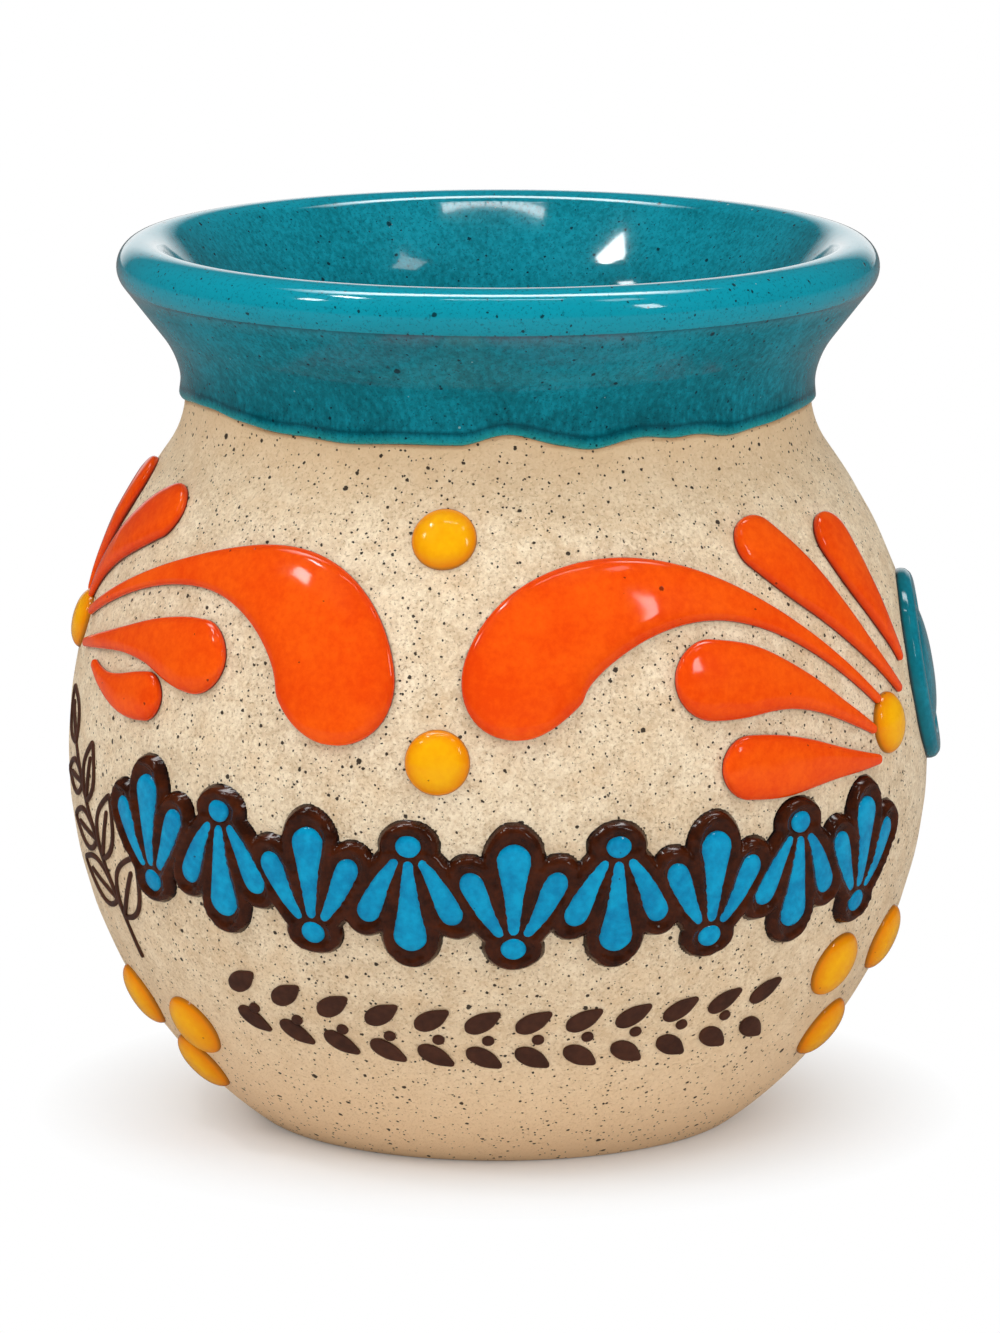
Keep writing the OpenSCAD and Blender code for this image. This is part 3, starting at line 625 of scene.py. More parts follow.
glazeValues = {
    "deepColour": (0.001, 0.165, 0.212),
    "brightColour": (0.005, 0.295, 0.385),
    "pools": (9 * mm, 3.0, 0.55),
    "runs": (0.5 * mm, 3.0, 0.65),
    "runStretch": 0.3,
    "mottles": (0.7 * mm, 3.0, 0.65),
    "toneShares": (0.3, 0.35, 0.35),  # of pools, runs and mottles
    "toneRange": (0.4, 0.6),
    # Darker where the glaze pooled on the neck: partly thick glaze, partly painted shade
    "poolAndShadeColour": (0.001, 0.075, 0.095),
    "poolAndShadeTone": 0.5,
    "poolUneven": 0.7,
    "neckShadeTone": 0.22,  # the pool's colour on all of the neck, as painted shade
    "neckShadeRange": (0.0, 0.04),
    # Brighter over the rim: partly thin glaze, partly painted light
    "rimColour": (0.002, 0.31, 0.405),
    "rimTone": 0.9,
    "rimUneven": 0.4,
    "lineColour": (0.001, 0.05, 0.07),
    "lineTone": 0.75,
    "lineAt": 0.56,
    "lineHalf": 0.12,
    # Painted shade in the fold under the rim
    "foldShadeTone": 0.7,
    "foldShadeRange": (0.0, 0.03),
    "edgeColour": (0.02, 0.38, 0.38),
    "edgeTone": 0.8,
    "edgeRange": (0.66, 1.0),
    "grainColour": (0.001, 0.02, 0.03),
    "grainTone": 0.45,
    "grainNoise": (0.3 * mm, 2.0, 0.7),
    "grainRange": (0.55, 0.68),
    "speckColour": (0.001, 0.02, 0.03),
    "speckTone": 0.9,
    "speckSoft": 0.25,
    "specks": [
        (0.9 * mm, 0.17 * mm, 0.6, 0.05), (1.9 * mm, 0.28 * mm, 0.55, 0.17),
        (4.0 * mm, 0.42 * mm, 0.5, 0.29),
    ],
    # Pale pinholes, partly painted glints
    "pitColour": (0.3, 0.55, 0.55),
    "pitTone": 0.6,
    "pits": (2.4 * mm, 0.17 * mm, 0.5, 0.53),
    "pitSoft": 0.4,
    "roughness": 0.06,
    "roughSpread": 0.08,
    "gloss": 0.12,
    "coatLoss": 0.9,  # the clear gloss that the neck lacks
    "coatRange": (0.0, 0.1),
    "bumpShares": (1.2, 0.15, -1.2, -0.3),  # of pools, runs, pits and specks
    "bumpDepth": 0.05 * mm,
}
enamel = {
    "pools": (7 * mm, 2.0),
    "mottles": (0.8 * mm, 3.0, 0.65),
    "waves": (5 * mm, 1.0),
    "toneShares": (0.5, 0.5),  # of pools and mottles
    "toneRange": (0.38, 0.62),
    "thinTone": 0.6,
    "thinRange": (0.25, 0.8),
    "thinUneven": 0.12,
    "edgeRange": (0.06, 0.2),
    "speckColour": (0.09, 0.010, 0.002),
    "speckTone": 0.8,
    "speckSoft": 0.3,
    "specks": [(2.0 * mm, 0.16 * mm, 0.5, 0.13), (4.5 * mm, 0.3 * mm, 0.5, 0.37)],
    "roughness": 0.06,
    "roughSpread": 0.05,
    "gloss": 0.35,
    "bumpShares": (1, -0.2),  # of waves and specks
    "bumpDepth": 0.08 * mm,
}
orangeValues = {
    **enamel,
    "deepColour": (0.89, 0.064, 0.001),
    "brightColour": (0.99, 0.110, 0.003),
    # Darker red where the enamel thins, made wide as partly painted shade of the rounded sides
    "thinColour": (0.66, 0.030, 0.001),
    "thinTone": 0.9,
    "thinRange": (0.12, 0.95),
    # Painted contact shade at the stroke's foot
    "edgeColour": (0.10, 0.010, 0.003),
    "edgeRange": (0.06, 0.3),
}
yellowValues = {
    **enamel,
    "deepColour": (0.95, 0.38, 0.001),
    "brightColour": (0.99, 0.47, 0.002),
    # Darker amber towards the dot's edge: partly thinner enamel, partly painted shade of its sides
    "thinColour": (0.80, 0.20, 0.001),
    "thinTone": 0.8,
    "thinRange": (0.3, 0.85),
    # Painted contact shade at the dot's foot
    "edgeColour": (0.40, 0.14, 0.008),
    "edgeRange": (0.06, 0.3),
}
blueValues = {
    **enamel,
    "deepColour": (0.001, 0.22, 0.44),
    "brightColour": (0.002, 0.36, 0.62),
    # Paler at the drop's edge: partly the enamel's pale rim, partly a painted glint
    "thinColour": (0.10, 0.42, 0.60),
    "thinRange": (0.35, 0.6),
    "edgeColour": (0.03, 0.02, 0.015),
    "pools": (2.4 * mm, 2.0),
    "bumpDepth": 0.02 * mm,
    "specks": [(2.0 * mm, 0.16 * mm, 0.5, 0.13), (4.0 * mm, 0.24 * mm, 0.4, 0.37)],
    "speckColour": (0.01, 0.03, 0.06),
}
roundelValues = {
    **enamel,
    "deepColour": (0.004, 0.17, 0.23),
    "brightColour": (0.006, 0.26, 0.34),
    "thinColour": (0.006, 0.10, 0.13),
    "thinRange": (0.2, 0.9),
    "edgeColour": (0.02, 0.03, 0.03),
}
slipValues = {
    **enamel,
    "deepColour": (0.026, 0.006, 0.002),
    "brightColour": (0.070, 0.014, 0.003),
    "thinColour": (0.012, 0.004, 0.003),
    "thinRange": (0.1, 0.6),
    "edgeColour": (0.010, 0.005, 0.004),
    "pools": (2.5 * mm, 2.0),
    "waves": (1.6 * mm, 1.0),
    "bumpDepth": 0.05 * mm,
    "roughness": 0.12,
}
matteSlipValues = {
    **slipValues,
    "deepColour": (0.052, 0.016, 0.008),
    "brightColour": (0.085, 0.026, 0.012),
    "thinColour": (0.06, 0.022, 0.012),
    "edgeColour": (0.10, 0.045, 0.02),
    "waves": (0.9 * mm, 1.0),
    "roughness": 0.45,
    "gloss": 0.25,
}

clay = clayFinish(clayValues)
glaze = glazeFinish(glazeValues)
orange = enamelFinish("orangeEnamel", orangeValues)
yellow = enamelFinish("yellowEnamel", yellowValues)
blue = enamelFinish("blueEnamel", blueValues)
seaGreen = enamelFinish("roundelGlaze", roundelValues)
slip = enamelFinish("brownSlip", slipValues)
matteSlip = enamelFinish("matteSlip", matteSlipValues)
print("finishes made")


# The wall, turned from its outline

clayShape = {
    "segments": 288,
    "wobble": 0.16 * mm,  # how far the outside strays inwards from its outline
    "unevenNoise": (14 * mm, 2.0),
    "ringPitch": 5.5 * mm,  # distance of the throwing rings
    "ringShare": 0.3,  # their share of the wobble
    "ringSway": 1.2,  # how far they stray, in pitches
    "wornFrom": 3 * mm,  # the wobble sets in above this height
    "wornRise": 6 * mm,
    "wornFall": 5 * mm,  # and fades below the shoulder's top
    "arcStep": 1.0 * mm,  # spacing of the outline's points
    "footStep": 0.4 * mm,
    "rimStep": 0.6 * mm,
    "floorStep": 1.2 * mm,
    "chamferStep": 0.5 * mm,
}


def latheTree():
    # The input mesh is an outline of points (radius, 0, height) with "worn", its share of the wobble
    group, tree, given = geometryTree(
        "lathe", Segments=int, Rows=int, Wobble=float, Pitch=float, Finish=bpy.types.Material
    )
    size = {"Size X": 1.0, "Size Y": 1.0, "Vertices X": given["Segments"] + 1, "Vertices Y": given["Rows"]}
    grid = tree.add("GeometryNodeMeshGrid", {}, size)
    column, row, _ = tree.parts(tree.here())
    turn = (column + 0.5) * (2 * math.pi)
    index = ((row + 0.5) * (given["Rows"] - 1)).calc("ROUND")

    def sample(value, kind):
        inputs = {"Geometry": given["Geometry"], "Value": value, "Index": index}
        return tree.add("GeometryNodeSampleIndex", {"data_type": kind, "domain": "POINT"}, inputs)

    radius, _, height = tree.parts(sample(tree.here(), "FLOAT_VECTOR"))
    worn = sample(tree.attribute("worn"), "FLOAT")
    uneven = tree.noise(tree.polar(turn, radius, height), *clayShape["unevenNoise"])
    rings = (height / given["Pitch"] + uneven * clayShape["ringSway"]) * (2 * math.pi)
    share = clayShape["ringShare"]
    dent = uneven * (1 - share) + (rings.calc("SINE") * 0.5 + 0.5) * share
    radius = radius - worn * given["Wobble"] * dent
    closeTree(tree, tree.move(grid, tree.polar(turn, radius, height)), given["Finish"])
    return group


lathe = latheTree()


def arcLine(arc, start, end, lift=0, spacing=clayShape["arcStep"]):
    # Points along an arc, without its end
    steps = max(2, math.ceil(abs(end - start) * (arc.radius + lift) / spacing))
    return arc.at(np.linspace(start, end, steps, endpoint=False), lift)


def straightLine(start, end, spacing=clayShape["floorStep"]):
    start, end = np.array(start, float), np.array(end, float)
    steps = max(1, math.ceil(np.linalg.norm(end - start) / spacing))
    return start + (end - start) * np.linspace(0, 1, steps, endpoint=False)[:, None]


def outsideLine():
    return np.concatenate([
        arcLine(footArc, -math.pi / 2, footTurn, 0, clayShape["footStep"]),
        arcLine(lowerArc, footTurn, 0),
        arcLine(shoulderArc, 0, shoulderTurn),
        arcLine(waistArc, shoulderTurn + math.pi, flareTurn + math.pi),
    ])


def insideLine(lift):
    thick, floor = wall["thickness"], wall["floorHeight"] + lift
    return np.concatenate([
        arcLine(waistArc, flareTurn + math.pi, shoulderTurn + math.pi, thick + lift),
        arcLine(shoulderArc, shoulderTurn, 0, -thick - lift),
        arcLine(lowerArc, 0, floorTurn, -thick - lift),
        arcLine(floorArc, floorTurn, -math.pi / 2, -lift),
        straightLine((floorArc.across, floor), (0, floor)),
        [[0, floor]],
    ])


def turned(name, line, worn, finish, segments):
    points = np.stack([line[:, 0], np.zeros(len(line)), line[:, 1]], -1)
    values = {
        "Segments": segments, "Rows": len(line), "Wobble": clayShape["wobble"],
        "Pitch": clayShape["ringPitch"], "Finish": finish,
    }
    return runTree(name, lathe, values, plainMesh(name, points, worn=worn))


def makeClayWall():
    shape = clayShape
    outside = outsideLine()
    recess, footOut = wall["footRecess"], wall["footRadius"]
    footIn = footOut - wall["footRing"]
    line = np.concatenate([
        outside,
        arcLine(rimArc, flareTurn, flareTurn + math.pi, 0, shape["rimStep"]),
        insideLine(0),
        straightLine((0, recess), (footIn - recess, recess)),
        straightLine((footIn - recess, recess), (footIn, 0), shape["chamferStep"]),
        straightLine((footIn, 0), (footOut, 0)),
        [[footOut, 0]],
    ])
    worn = np.zeros(len(line))
    height = outside[:, 1]
    setIn = np.clip((height - shape["wornFrom"]) / shape["wornRise"], 0, 1)
    worn[: len(outside)] = setIn * np.clip((shoulderTop - height) / shape["wornFall"], 0, 1)
    return turned("clayWall", line, worn, clay, shape["segments"])


clayWall = makeClayWall()
settle(clayWall, "speckled_clay", "clay_body")


# Glaze: the coat inside, and the dipped coat over the neck and the rim

coatShape = {
    "segments": 400,
    "innerSegments": 256,
    "overlap": 3 * mm,  # how far the two coats run on under each other
    "overlapDip": 0.04 * mm,
    "overlapRows": 6,
    "sunk": 0.1 * mm,  # how deep their hidden sides lie in the clay
    "backStep": 5,  # the neck's hidden side has one row for so many
    "dipDrop": 0.8 * mm,  # how far the dip line lies below the waist
    "dipWave": 1.2 * mm,
    "fineWave": 0.07 * mm,
    "fineRipple": (5, 5, 11, 34),  # seed, number of waves, and their least and most turns round the mug
    "stainBand": 9 * mm,  # how far below the dip line the clay takes the painted shade under the neck, stained just below the line
    "stainDepth": 1 * mm,
    "edgeBand": 3 * mm,  # how far above it the glaze looks different
    "edgeRound": 0.55 * mm,
    "edgeRows": 12,
    "edgeShare": 0.3,  # of the way up the neck, for these rows
    "neckRows": 18,
    "edgeSwell": 0.16 * mm,  # glaze that gathered along the dip line
    "swellReach": 1.3 * mm,
    "swellUneven": 0.5,
    "swellRipple": (8, 4, 5, 23),
    "straightGather": 0.35,  # how far the glaze has gathered, and how deep its painted shade is, where the flare runs straight up to the rim
    "foldGather": 0.001,  # and where the rim's arc starts: just above 0, which marks the fold for its painted shade
    "foldTurn": 0.01,
    "rimRows": 26,
    "thinShares": [(0, 0.8), (0.06, 1), (0.75, 1), (1, 0)],  # how thin it is along the rim's arc, and so how brightly painted
}
# Soft waves of the dip line: an angle, a half width in degrees and a share of the full wave
dipWaves = [
    (11, 9, 1.0), (25, 8, -0.35), (37, 7, 0.25), (58, 12, -0.4), (80, 12, 0.1), (104, 14, -0.3),
    (128, 12, 0.3), (150, 12, -0.4), (176, 14, 0.3), (203, 13, -0.35), (228, 12, 0.25), (252, 14, -0.2),
    (278, 12, 0.1), (303, 22, 0.7), (340, 16, -0.25),
]


def makeInnerCoat():
    shape, coat = coatShape, wall["coat"]
    # Above its end the coat runs on under the neck's coat, up to the rim's arc
    top = flareTurn + math.pi
    shares = np.linspace(1, 0, shape["overlapRows"], endpoint=False)
    turn = top - shape["overlap"] / rimArc.radius * shares
    under = rimArc.at(turn, coat - shape["overlapDip"] * shares ** 2)
    front = np.concatenate([under, [rimArc.at(top, coat)], insideLine(coat)])
    back = np.concatenate([rimArc.at(turn, -shape["sunk"]), insideLine(-shape["sunk"])])
    line = np.concatenate([front, back[::-1], front[:1]])
    return turned("innerCoat", line, np.zeros(len(line)), glaze, shape["innerSegments"])


def dipLine(angle):
    total = 0
    for place, half, share in dipWaves:
        apart = (angle - place + 540) % 360 - 180
        total = total + np.where(abs(apart) < half, (1 + np.cos(math.pi * apart / half)) / 2, 0) * share
    fine = ripple(angle * degree, *coatShape["fineRipple"])
    return waistHeight - coatShape["dipDrop"] + coatShape["dipWave"] * total + coatShape["fineWave"] * fine


def makeNeckCoat():
    shape, coat, thick = coatShape, wall["coat"], wall["thickness"]
    angles = np.arange(shape["segments"]) * 360 / shape["segments"]
    turn = angles * degree
    edgeTurn = math.pi - np.arcsin((dipLine(angles) - waistArc.up) / waistArc.radius)
    top = flareTurn + math.pi
    steps = np.concatenate([
        np.linspace(0, shape["edgeShare"], shape["edgeRows"], endpoint=False),
        np.linspace(shape["edgeShare"], 1, shape["neckRows"]),
    ])
    rows = []
    looks = {"dipEdge": [], "gather": [], "thinRim": []}

    def add(arc, turn, lift, **look):
        rows.append(arc.at(turn + np.zeros(len(angles)), lift))
        for label, column in looks.items():
            column.append(look.get(label, 0) + np.zeros(len(angles)))

    def neckRow(share, lift, **look):
        add(waistArc, edgeTurn + (top - edgeTurn) * share, -lift, **look)

    uneven = 1 + shape["swellUneven"] * ripple(turn, *shape["swellRipple"])
    for share in steps:
        way = (edgeTurn - top) * share * waistArc.radius
        near = np.clip(way / shape["edgeRound"], 0, 1)
        swell = shape["edgeSwell"] * np.exp(-((way - shape["edgeRound"]) / shape["swellReach"]) ** 2) * uneven
        edge = np.clip(1 - way / shape["edgeBand"], 0, 1)
        gather = 1 - (1 - shape["straightGather"]) * share
        neckRow(share, (coat + swell) * np.sqrt(near * (2 - near)), dipEdge=edge, gather=gather)
    add(rimArc, flareTurn, coat, gather=shape["foldGather"])
    rimSteps = np.linspace(0, 1, shape["rimRows"])
    for share, thin in zip(rimSteps, np.interp(rimSteps, *zip(*shape["thinShares"]))):
        add(rimArc, flareTurn + max(math.pi * share, shape["foldTurn"]), coat, thinRim=thin)
    reach = shape["overlap"] / (waistArc.radius + thick)
    for share in np.linspace(0, 1, shape["overlapRows"] + 1)[1:]:
        add(waistArc, top + reach * share, thick + coat - shape["overlapDip"] * share ** 2)
    add(waistArc, top + reach, thick - shape["sunk"])
    for share in rimSteps[::-shape["backStep"]]:
        add(rimArc, flareTurn + math.pi * share, -shape["sunk"])
    for share in steps[::-shape["backStep"]]:
        neckRow(share, -shape["sunk"])
    radius, height = np.stack(rows, 1).transpose(2, 0, 1)
    points = np.stack([radius * np.sin(turn)[:, None], -radius * np.cos(turn)[:, None], height], -1)
    looks = {label: np.stack(column, 1).ravel() for label, column in looks.items()}
    return meshPiece("neckCoat", points.reshape(-1, 3), gridFaces(*radius.shape), glaze, **looks)


def stainClay(piece):
    # "stain" grows from 0 to 1 towards the dip line; it sets both the stain just below the line and the
    # painted shade under the neck
    points = np.empty(len(piece.data.vertices) * 3)
    piece.data.vertices.foreach_get("co", points)
    x, y, z = points.reshape(-1, 3).T
    below = dipLine(np.arctan2(x, -y) / degree) - z
    outside = np.hypot(x, y) > skinAt(z)[0] - coatShape["stainDepth"]
    stain = np.clip(1 - below / coatShape["stainBand"], 0, 1) * outside
    piece.data.attributes.new("stain", "FLOAT", "POINT").data.foreach_set("value", stain.astype(np.float32))


stainClay(clayWall)
settle(makeInnerCoat(), "turquoise_glaze", "inner_glaze")
settle(makeNeckCoat(), "turquoise_glaze", "neck_glaze")


# The pulled handle

handleShape = {
    "drop": 9.2 * mm,  # of the upper root below the waist
    "height": 40 * mm,
    "reach": 28 * mm,
    "topWidth": 17 * mm,
    "lowWidth": 13.5 * mm,
    "thickness": 7.4 * mm,
    "fullness": 2.6,
    "rootFlare": 0.28,
    "rootReach": 0.16,
    "fillet": 2.6 * mm,  # clay smeared over the joint with the wall
    "filletReach": 2.6 * mm,
    "filletThick": 0.8,  # of it above and below the strap, as a share of that beside it
    "sunk": 2.2 * mm,  # how deep the ends lie in the wall
    "grooveDepth": 0.35 * mm,
    "grooveAt": 0.42,  # from the strap's middle, as a share of its half width
    "grooveHalf": 0.16,
    "uneven": 0.12 * mm,
    "unevenTurns": (23, 2),  # along the strap and round it
    "unevenStarts": (1, 0.6),
    "rings": 97,
    "sides": 56,
    "searchSteps": 2001,
    "wayStep": 0.01,
}
handlePath = [
    (-0.46, 0.94), (-0.22, 1.02), (0.10, 1.12), (0.42, 1.12), (0.70, 0.97), (0.848, 0.72), (0.858, 0.47),
    (0.74, 0.23), (0.46, 0.06), (0.12, -0.02), (-0.14, -0.04),
]


def makeHandle():
    shape = handleShape
    lowRoot = waistHeight - shape["drop"] - shape["height"]

    def centre(shares):
        path = along(handlePath, shares)
        return np.stack([
            wall["bellyRadius"] + shape["reach"] * path[:, 0], lowRoot + shape["height"] * path[:, 1]
        ], -1)

    def outside(shares):
        # How far the centre line is outside the clay
        place = centre(shares)
        radius, outward, _ = skinAt(place[:, 1])
        return (place[:, 0] - radius) * outward

    # The part of the path that the sweep follows: both ends stop just inside the wall
    dense = np.linspace(0, 1, shape["searchSteps"])
    kept = dense[outside(dense) > -shape["sunk"]]
    shares = kept[0] + (kept[-1] - kept[0]) * softSteps(shape["rings"])
    place = centre(shares)
    way = centre(np.minimum(1, shares + shape["wayStep"])) - centre(np.maximum(0, shares - shape["wayStep"]))
    way /= np.linalg.norm(way, axis=1)[:, None]
    near = np.maximum(0, 1 - np.minimum(shares, 1 - shares) / shape["rootReach"]) ** 2
    flare = 1 + shape["rootFlare"] * near
    fillet = shape["fillet"] * np.exp(-np.maximum(outside(shares), 0) / shape["filletReach"])
    halfWidth = (shape["topWidth"] + (shape["lowWidth"] - shape["topWidth"]) * shares) / 2 * flare + fillet
    halfThick = shape["thickness"] / 2 * flare + fillet * shape["filletThick"]
    turn = np.linspace(0, 2 * math.pi, shape["sides"], endpoint=False)
    x, t = (np.sign(side) * abs(side) ** (2 / shape["fullness"]) for side in (np.cos(turn), np.sin(turn)))
    # Two shallow grooves that the fingers left along the back of the strap
    groove = np.exp(-((abs(x) - shape["grooveAt"]) / shape["grooveHalf"]) ** 2) * (t < 0)
    thick = halfThick[:, None] * t + shape["grooveDepth"] * groove
    (lengthTurns, roundTurns), (lengthStart, roundStart) = shape["unevenTurns"], shape["unevenStarts"]
    uneven = np.sin(shares * lengthTurns + lengthStart)[:, None] * np.cos(turn * roundTurns + roundStart)
    acrossX = halfWidth[:, None] * x + shape["uneven"] * uneven
    radius = place[:, 0:1] - way[:, 1:2] * thick
    height = place[:, 1:2] + way[:, 0:1] * thick
    points = np.stack([acrossX, radius, height], -1).reshape(-1, 3)
    rings, around = acrossX.shape
    faces = gridFaces(rings, around, closed=False)
    faces += [range(around), range((rings - 1) * around, rings * around)]
    return meshPiece("strapHandle", points, faces, clay)


settle(makeHandle(), "speckled_clay", "handle")


# Domed strokes: scrolls, petals, drops, leaves and lines

strokeNoise = (4 * mm, 1.0)  # unevenness of their height
strokeEdge = 0.1 * mm  # a stroke sinks in fully where its crest is higher than this


def strokeTree(name, wrapped):
    # The input mesh is lines with "halfWidth", "crest" and "facing". Each becomes a closed domed stroke,
    # wrapped on the skin or flat.
    group, tree, given = geometryTree(
        name, Sides=int, Fullness=float, Uneven=float, Sink=float, Finish=bpy.types.Material
    )
    line = tree.add("GeometryNodeMeshToCurve", {}, {"Mesh": given["Geometry"]})
    facing = tree.attribute("facing", "FLOAT_VECTOR")
    line = tree.add("GeometryNodeSetCurveNormal", {"mode": "FREE"}, {"Curve": line, "Normal": facing})
    ring = tree.add("GeometryNodeCurvePrimitiveCircle", {}, {"Resolution": given["Sides"], "Radius": 1.0})
    x, y, _ = tree.parts(tree.here())

    def full(value):
        return value.calc("SIGN") * value.calc("ABSOLUTE") ** (2 / given["Fullness"])

    ring = tree.store(ring, "rise", full(y))
    flat = tree.vector(0.0, full(x), 0.0)
    ring = tree.move(ring, flat)
    inputs = {"Curve": line, "Profile Curve": ring, "Scale": tree.attribute("halfWidth")}
    tube = tree.add("GeometryNodeCurveToMesh", {}, inputs)
    place = tree.here()
    rise = tree.attribute("rise")
    crest = tree.attribute("crest")
    wave = (tree.noise(place, *strokeNoise) - 0.5) * given["Uneven"]
    up = rise.calc("MAXIMUM", 0.0) * crest * (wave + 1)
    lift = up + rise.calc("MINIMUM", 0.0) * given["Sink"] * tree.between(crest, 0.0, strokeEdge)
    x, y, z = tree.parts(place)
    if wrapped:
        target = wrappedPlace(tree, x.calc("ARCTAN2", y * -1), z, lift)
    else:
        target = tree.vector(x, y, lift)
    closeTree(tree, tree.move(tube, target), given["Finish"])
    return group


def wrappedPlace(tree, turn, z, lift):
    # The skin formula as nodes
    radius, outward, upward = skinAt(z, Wire.root)
    reach = radius + lift * outward
    return tree.polar(turn, reach, z + lift * upward)


skinStroke = strokeTree("skinStroke", True)
flatStroke = strokeTree("flatStroke", False)


def endShare(apart, half):
    x = np.minimum(apart / half, 1)
    return np.sqrt(x * (2 - x))


def strokePoints(shape, rows, width, count, skin, wide=None, smoothing=0):
    # Centre points, half widths, crests and facings of a stroke. Rows are (angle or side, height share or
    # up, width share). A stroke narrower than the wide one has a lower crest.
    path = along(rows, softSteps(count))
    # A bend tighter than the stroke is wide would fold its inner side
    for _ in range(smoothing):
        path[1:-1] = (path[:-2] + 2 * path[1:-1] + path[2:]) / 4
    if skin:
        centres = onSkin(path[:, 0], path[:, 1] * waistHeight)
        _, outward, upward = skinAt(path[:, 1] * waistHeight)
        turn = path[:, 0] * degree
        facing = np.stack([outward * np.sin(turn), -outward * np.cos(turn), upward], -1)
    else:
        centres = np.stack([path[:, 0], path[:, 1], path[:, 1] * 0], -1)
        facing = np.zeros((count, 3)) + (0, 0, 1)
    half = path[:, 2] * width / 2
    for end in (0, -1):
        half = half * endShare(np.linalg.norm(centres - centres[end], axis=1), half[end])
    crest = shape["height"] * np.minimum(1, 2 * half / (wide or width)) ** shape["slim"]
    return centres, half, crest, facing


def roundStroke(shape, half, across=0, up=0):
    # A flat round drop: a stroke as long as it is wide
    rows = [(across + step * half, up, 1) for step in (-1, 0, 1)]
    return strokePoints(shape, rows, 2 * half, shape["roundPoints"], False)


def strokeMesh(name, strokes):
    # Several strokes as separate lines of one mesh
    parts = [np.concatenate(column) for column in zip(*strokes)]
    edges, start = [], 0
    for stroke in strokes:
        count = len(stroke[0])
        edges += [(start + i, start + i + 1) for i in range(count - 1)]
        start += count
    return plainMesh(name, parts[0], edges, halfWidth=parts[1], crest=parts[2], facing=parts[3])


petalShape = {
    "scrollWidth": 13 * mm,
    "petalWidth": 8.2 * mm,
    "height": 1.2 * mm,
    "slim": 0.4,
    "fullness": 2.9,
    "uneven": 0.16,
    "sink": 0.15 * mm,
    "rings": 72,
    "sides": 40,
    "smoothing": 20,
}
# Each row is an angle, a share of the waist's height and a share of the full width
scrolls = {
    "scroll_left": [
        (-13, .613, 1), (-13, .686, 1.01), (-15, .740, .97), (-18.6, .776, .91), (-23, .799, .78),
        (-28.4, .812, .58), (-34, .815, .39), (-40.3, .811, .25), (-49.7, .791, .15), (-59.8, .756, .11),
        (-71.5, .708, .08),
    ],
    "scroll_right": [
        (11.8, .627, .94), (11.8, .684, .97), (13.9, .735, .96), (18.6, .770, .90), (24.6, .793, .78),
        (31, .802, .62), (38, .799, .43), (45.6, .780, .26), (56, .728, .14), (70.2, .621, .08),
    ],
}
petals = {
    "petal_left_outer": [
        (-77.5, .905, .68), (-79, .866, .73), (-81, .820, .66), (-82.6, .777, .46), (-82.6, .743, .27),
        (-81.4, .718, .13),
    ],
    "petal_left_upper": [
        (-51, .877, .71), (-55.5, .866, .77), (-60.5, .845, .76), (-65.5, .819, .63), (-70, .787, .46),
        (-73.2, .753, .27), (-75.6, .719, .13),
    ],
    "petal_left_middle": [
        (-30.8, .703, .90), (-35.6, .703, .94), (-40, .706, .88), (-45, .710, .63), (-50, .706, .44),
        (-56, .697, .28), (-69.5, .669, .12),
    ],
    "petal_left_low": [
        (-41.8, .643, .59), (-45, .639, .62), (-48.5, .635, .59), (-52.5, .634, .45), (-57.5, .640, .24),
        (-62.5, .655, .12),
    ],
    "petal_right_outer": [
        (69.4, .866, .71), (71, .825, .76), (73.1, .777, .63), (76.2, .722, .38), (78.4, .688, .22),
        (80.1, .659, .12),
    ],
    "petal_right_upper": [
        (49.3, .873, .73), (52.6, .848, .77), (58.1, .802, .72), (62.2, .766, .56), (66.6, .723, .39),
        (70.8, .682, .23), (77.6, .623, .12),
    ],
    "petal_right_middle": [
        (33.3, .698, 1), (39, .689, 1.01), (45, .684, .91), (50, .673, .63), (55, .655, .43),
        (60, .629, .27), (68.2, .585, .12),
    ],
    "petal_right_low": [
        (39.1, .575, .76), (43.8, .572, .80), (48.8, .567, .78), (53.8, .564, .61), (58.8, .558, .40),
        (63.8, .551, .26), (69, .545, .12),
    ],
}


def pieceName(node):
    # A CAD node's name in the scene's own spelling
    first, *others = node.split("_")
    return first + "".join(word.capitalize() for word in others)


def treeInputs(shape, finish, *labels, **others):
    # The named inputs of a tree, by the values of the same names
    return {**{label: shape[label.lower()] for label in labels}, **others, "Finish": finish}


strokeLabels = ("Sides", "Fullness", "Uneven", "Sink")


def makePetal(node, rows, width):
    shape, name = petalShape, pieceName(node)
    stroke = strokePoints(shape, rows, width, shape["rings"], True, shape["petalWidth"], shape["smoothing"])
    values = treeInputs(shape, orange, *strokeLabels)
    settle(runTree(name, skinStroke, values, strokeMesh(name, [stroke])), "orange_enamel", node)


for node, rows in scrolls.items():
    makePetal(node, rows, petalShape["scrollWidth"])
for node, rows in petals.items():
    makePetal(node, rows, petalShape["petalWidth"])


# Motifs that are laid on the skin at spots

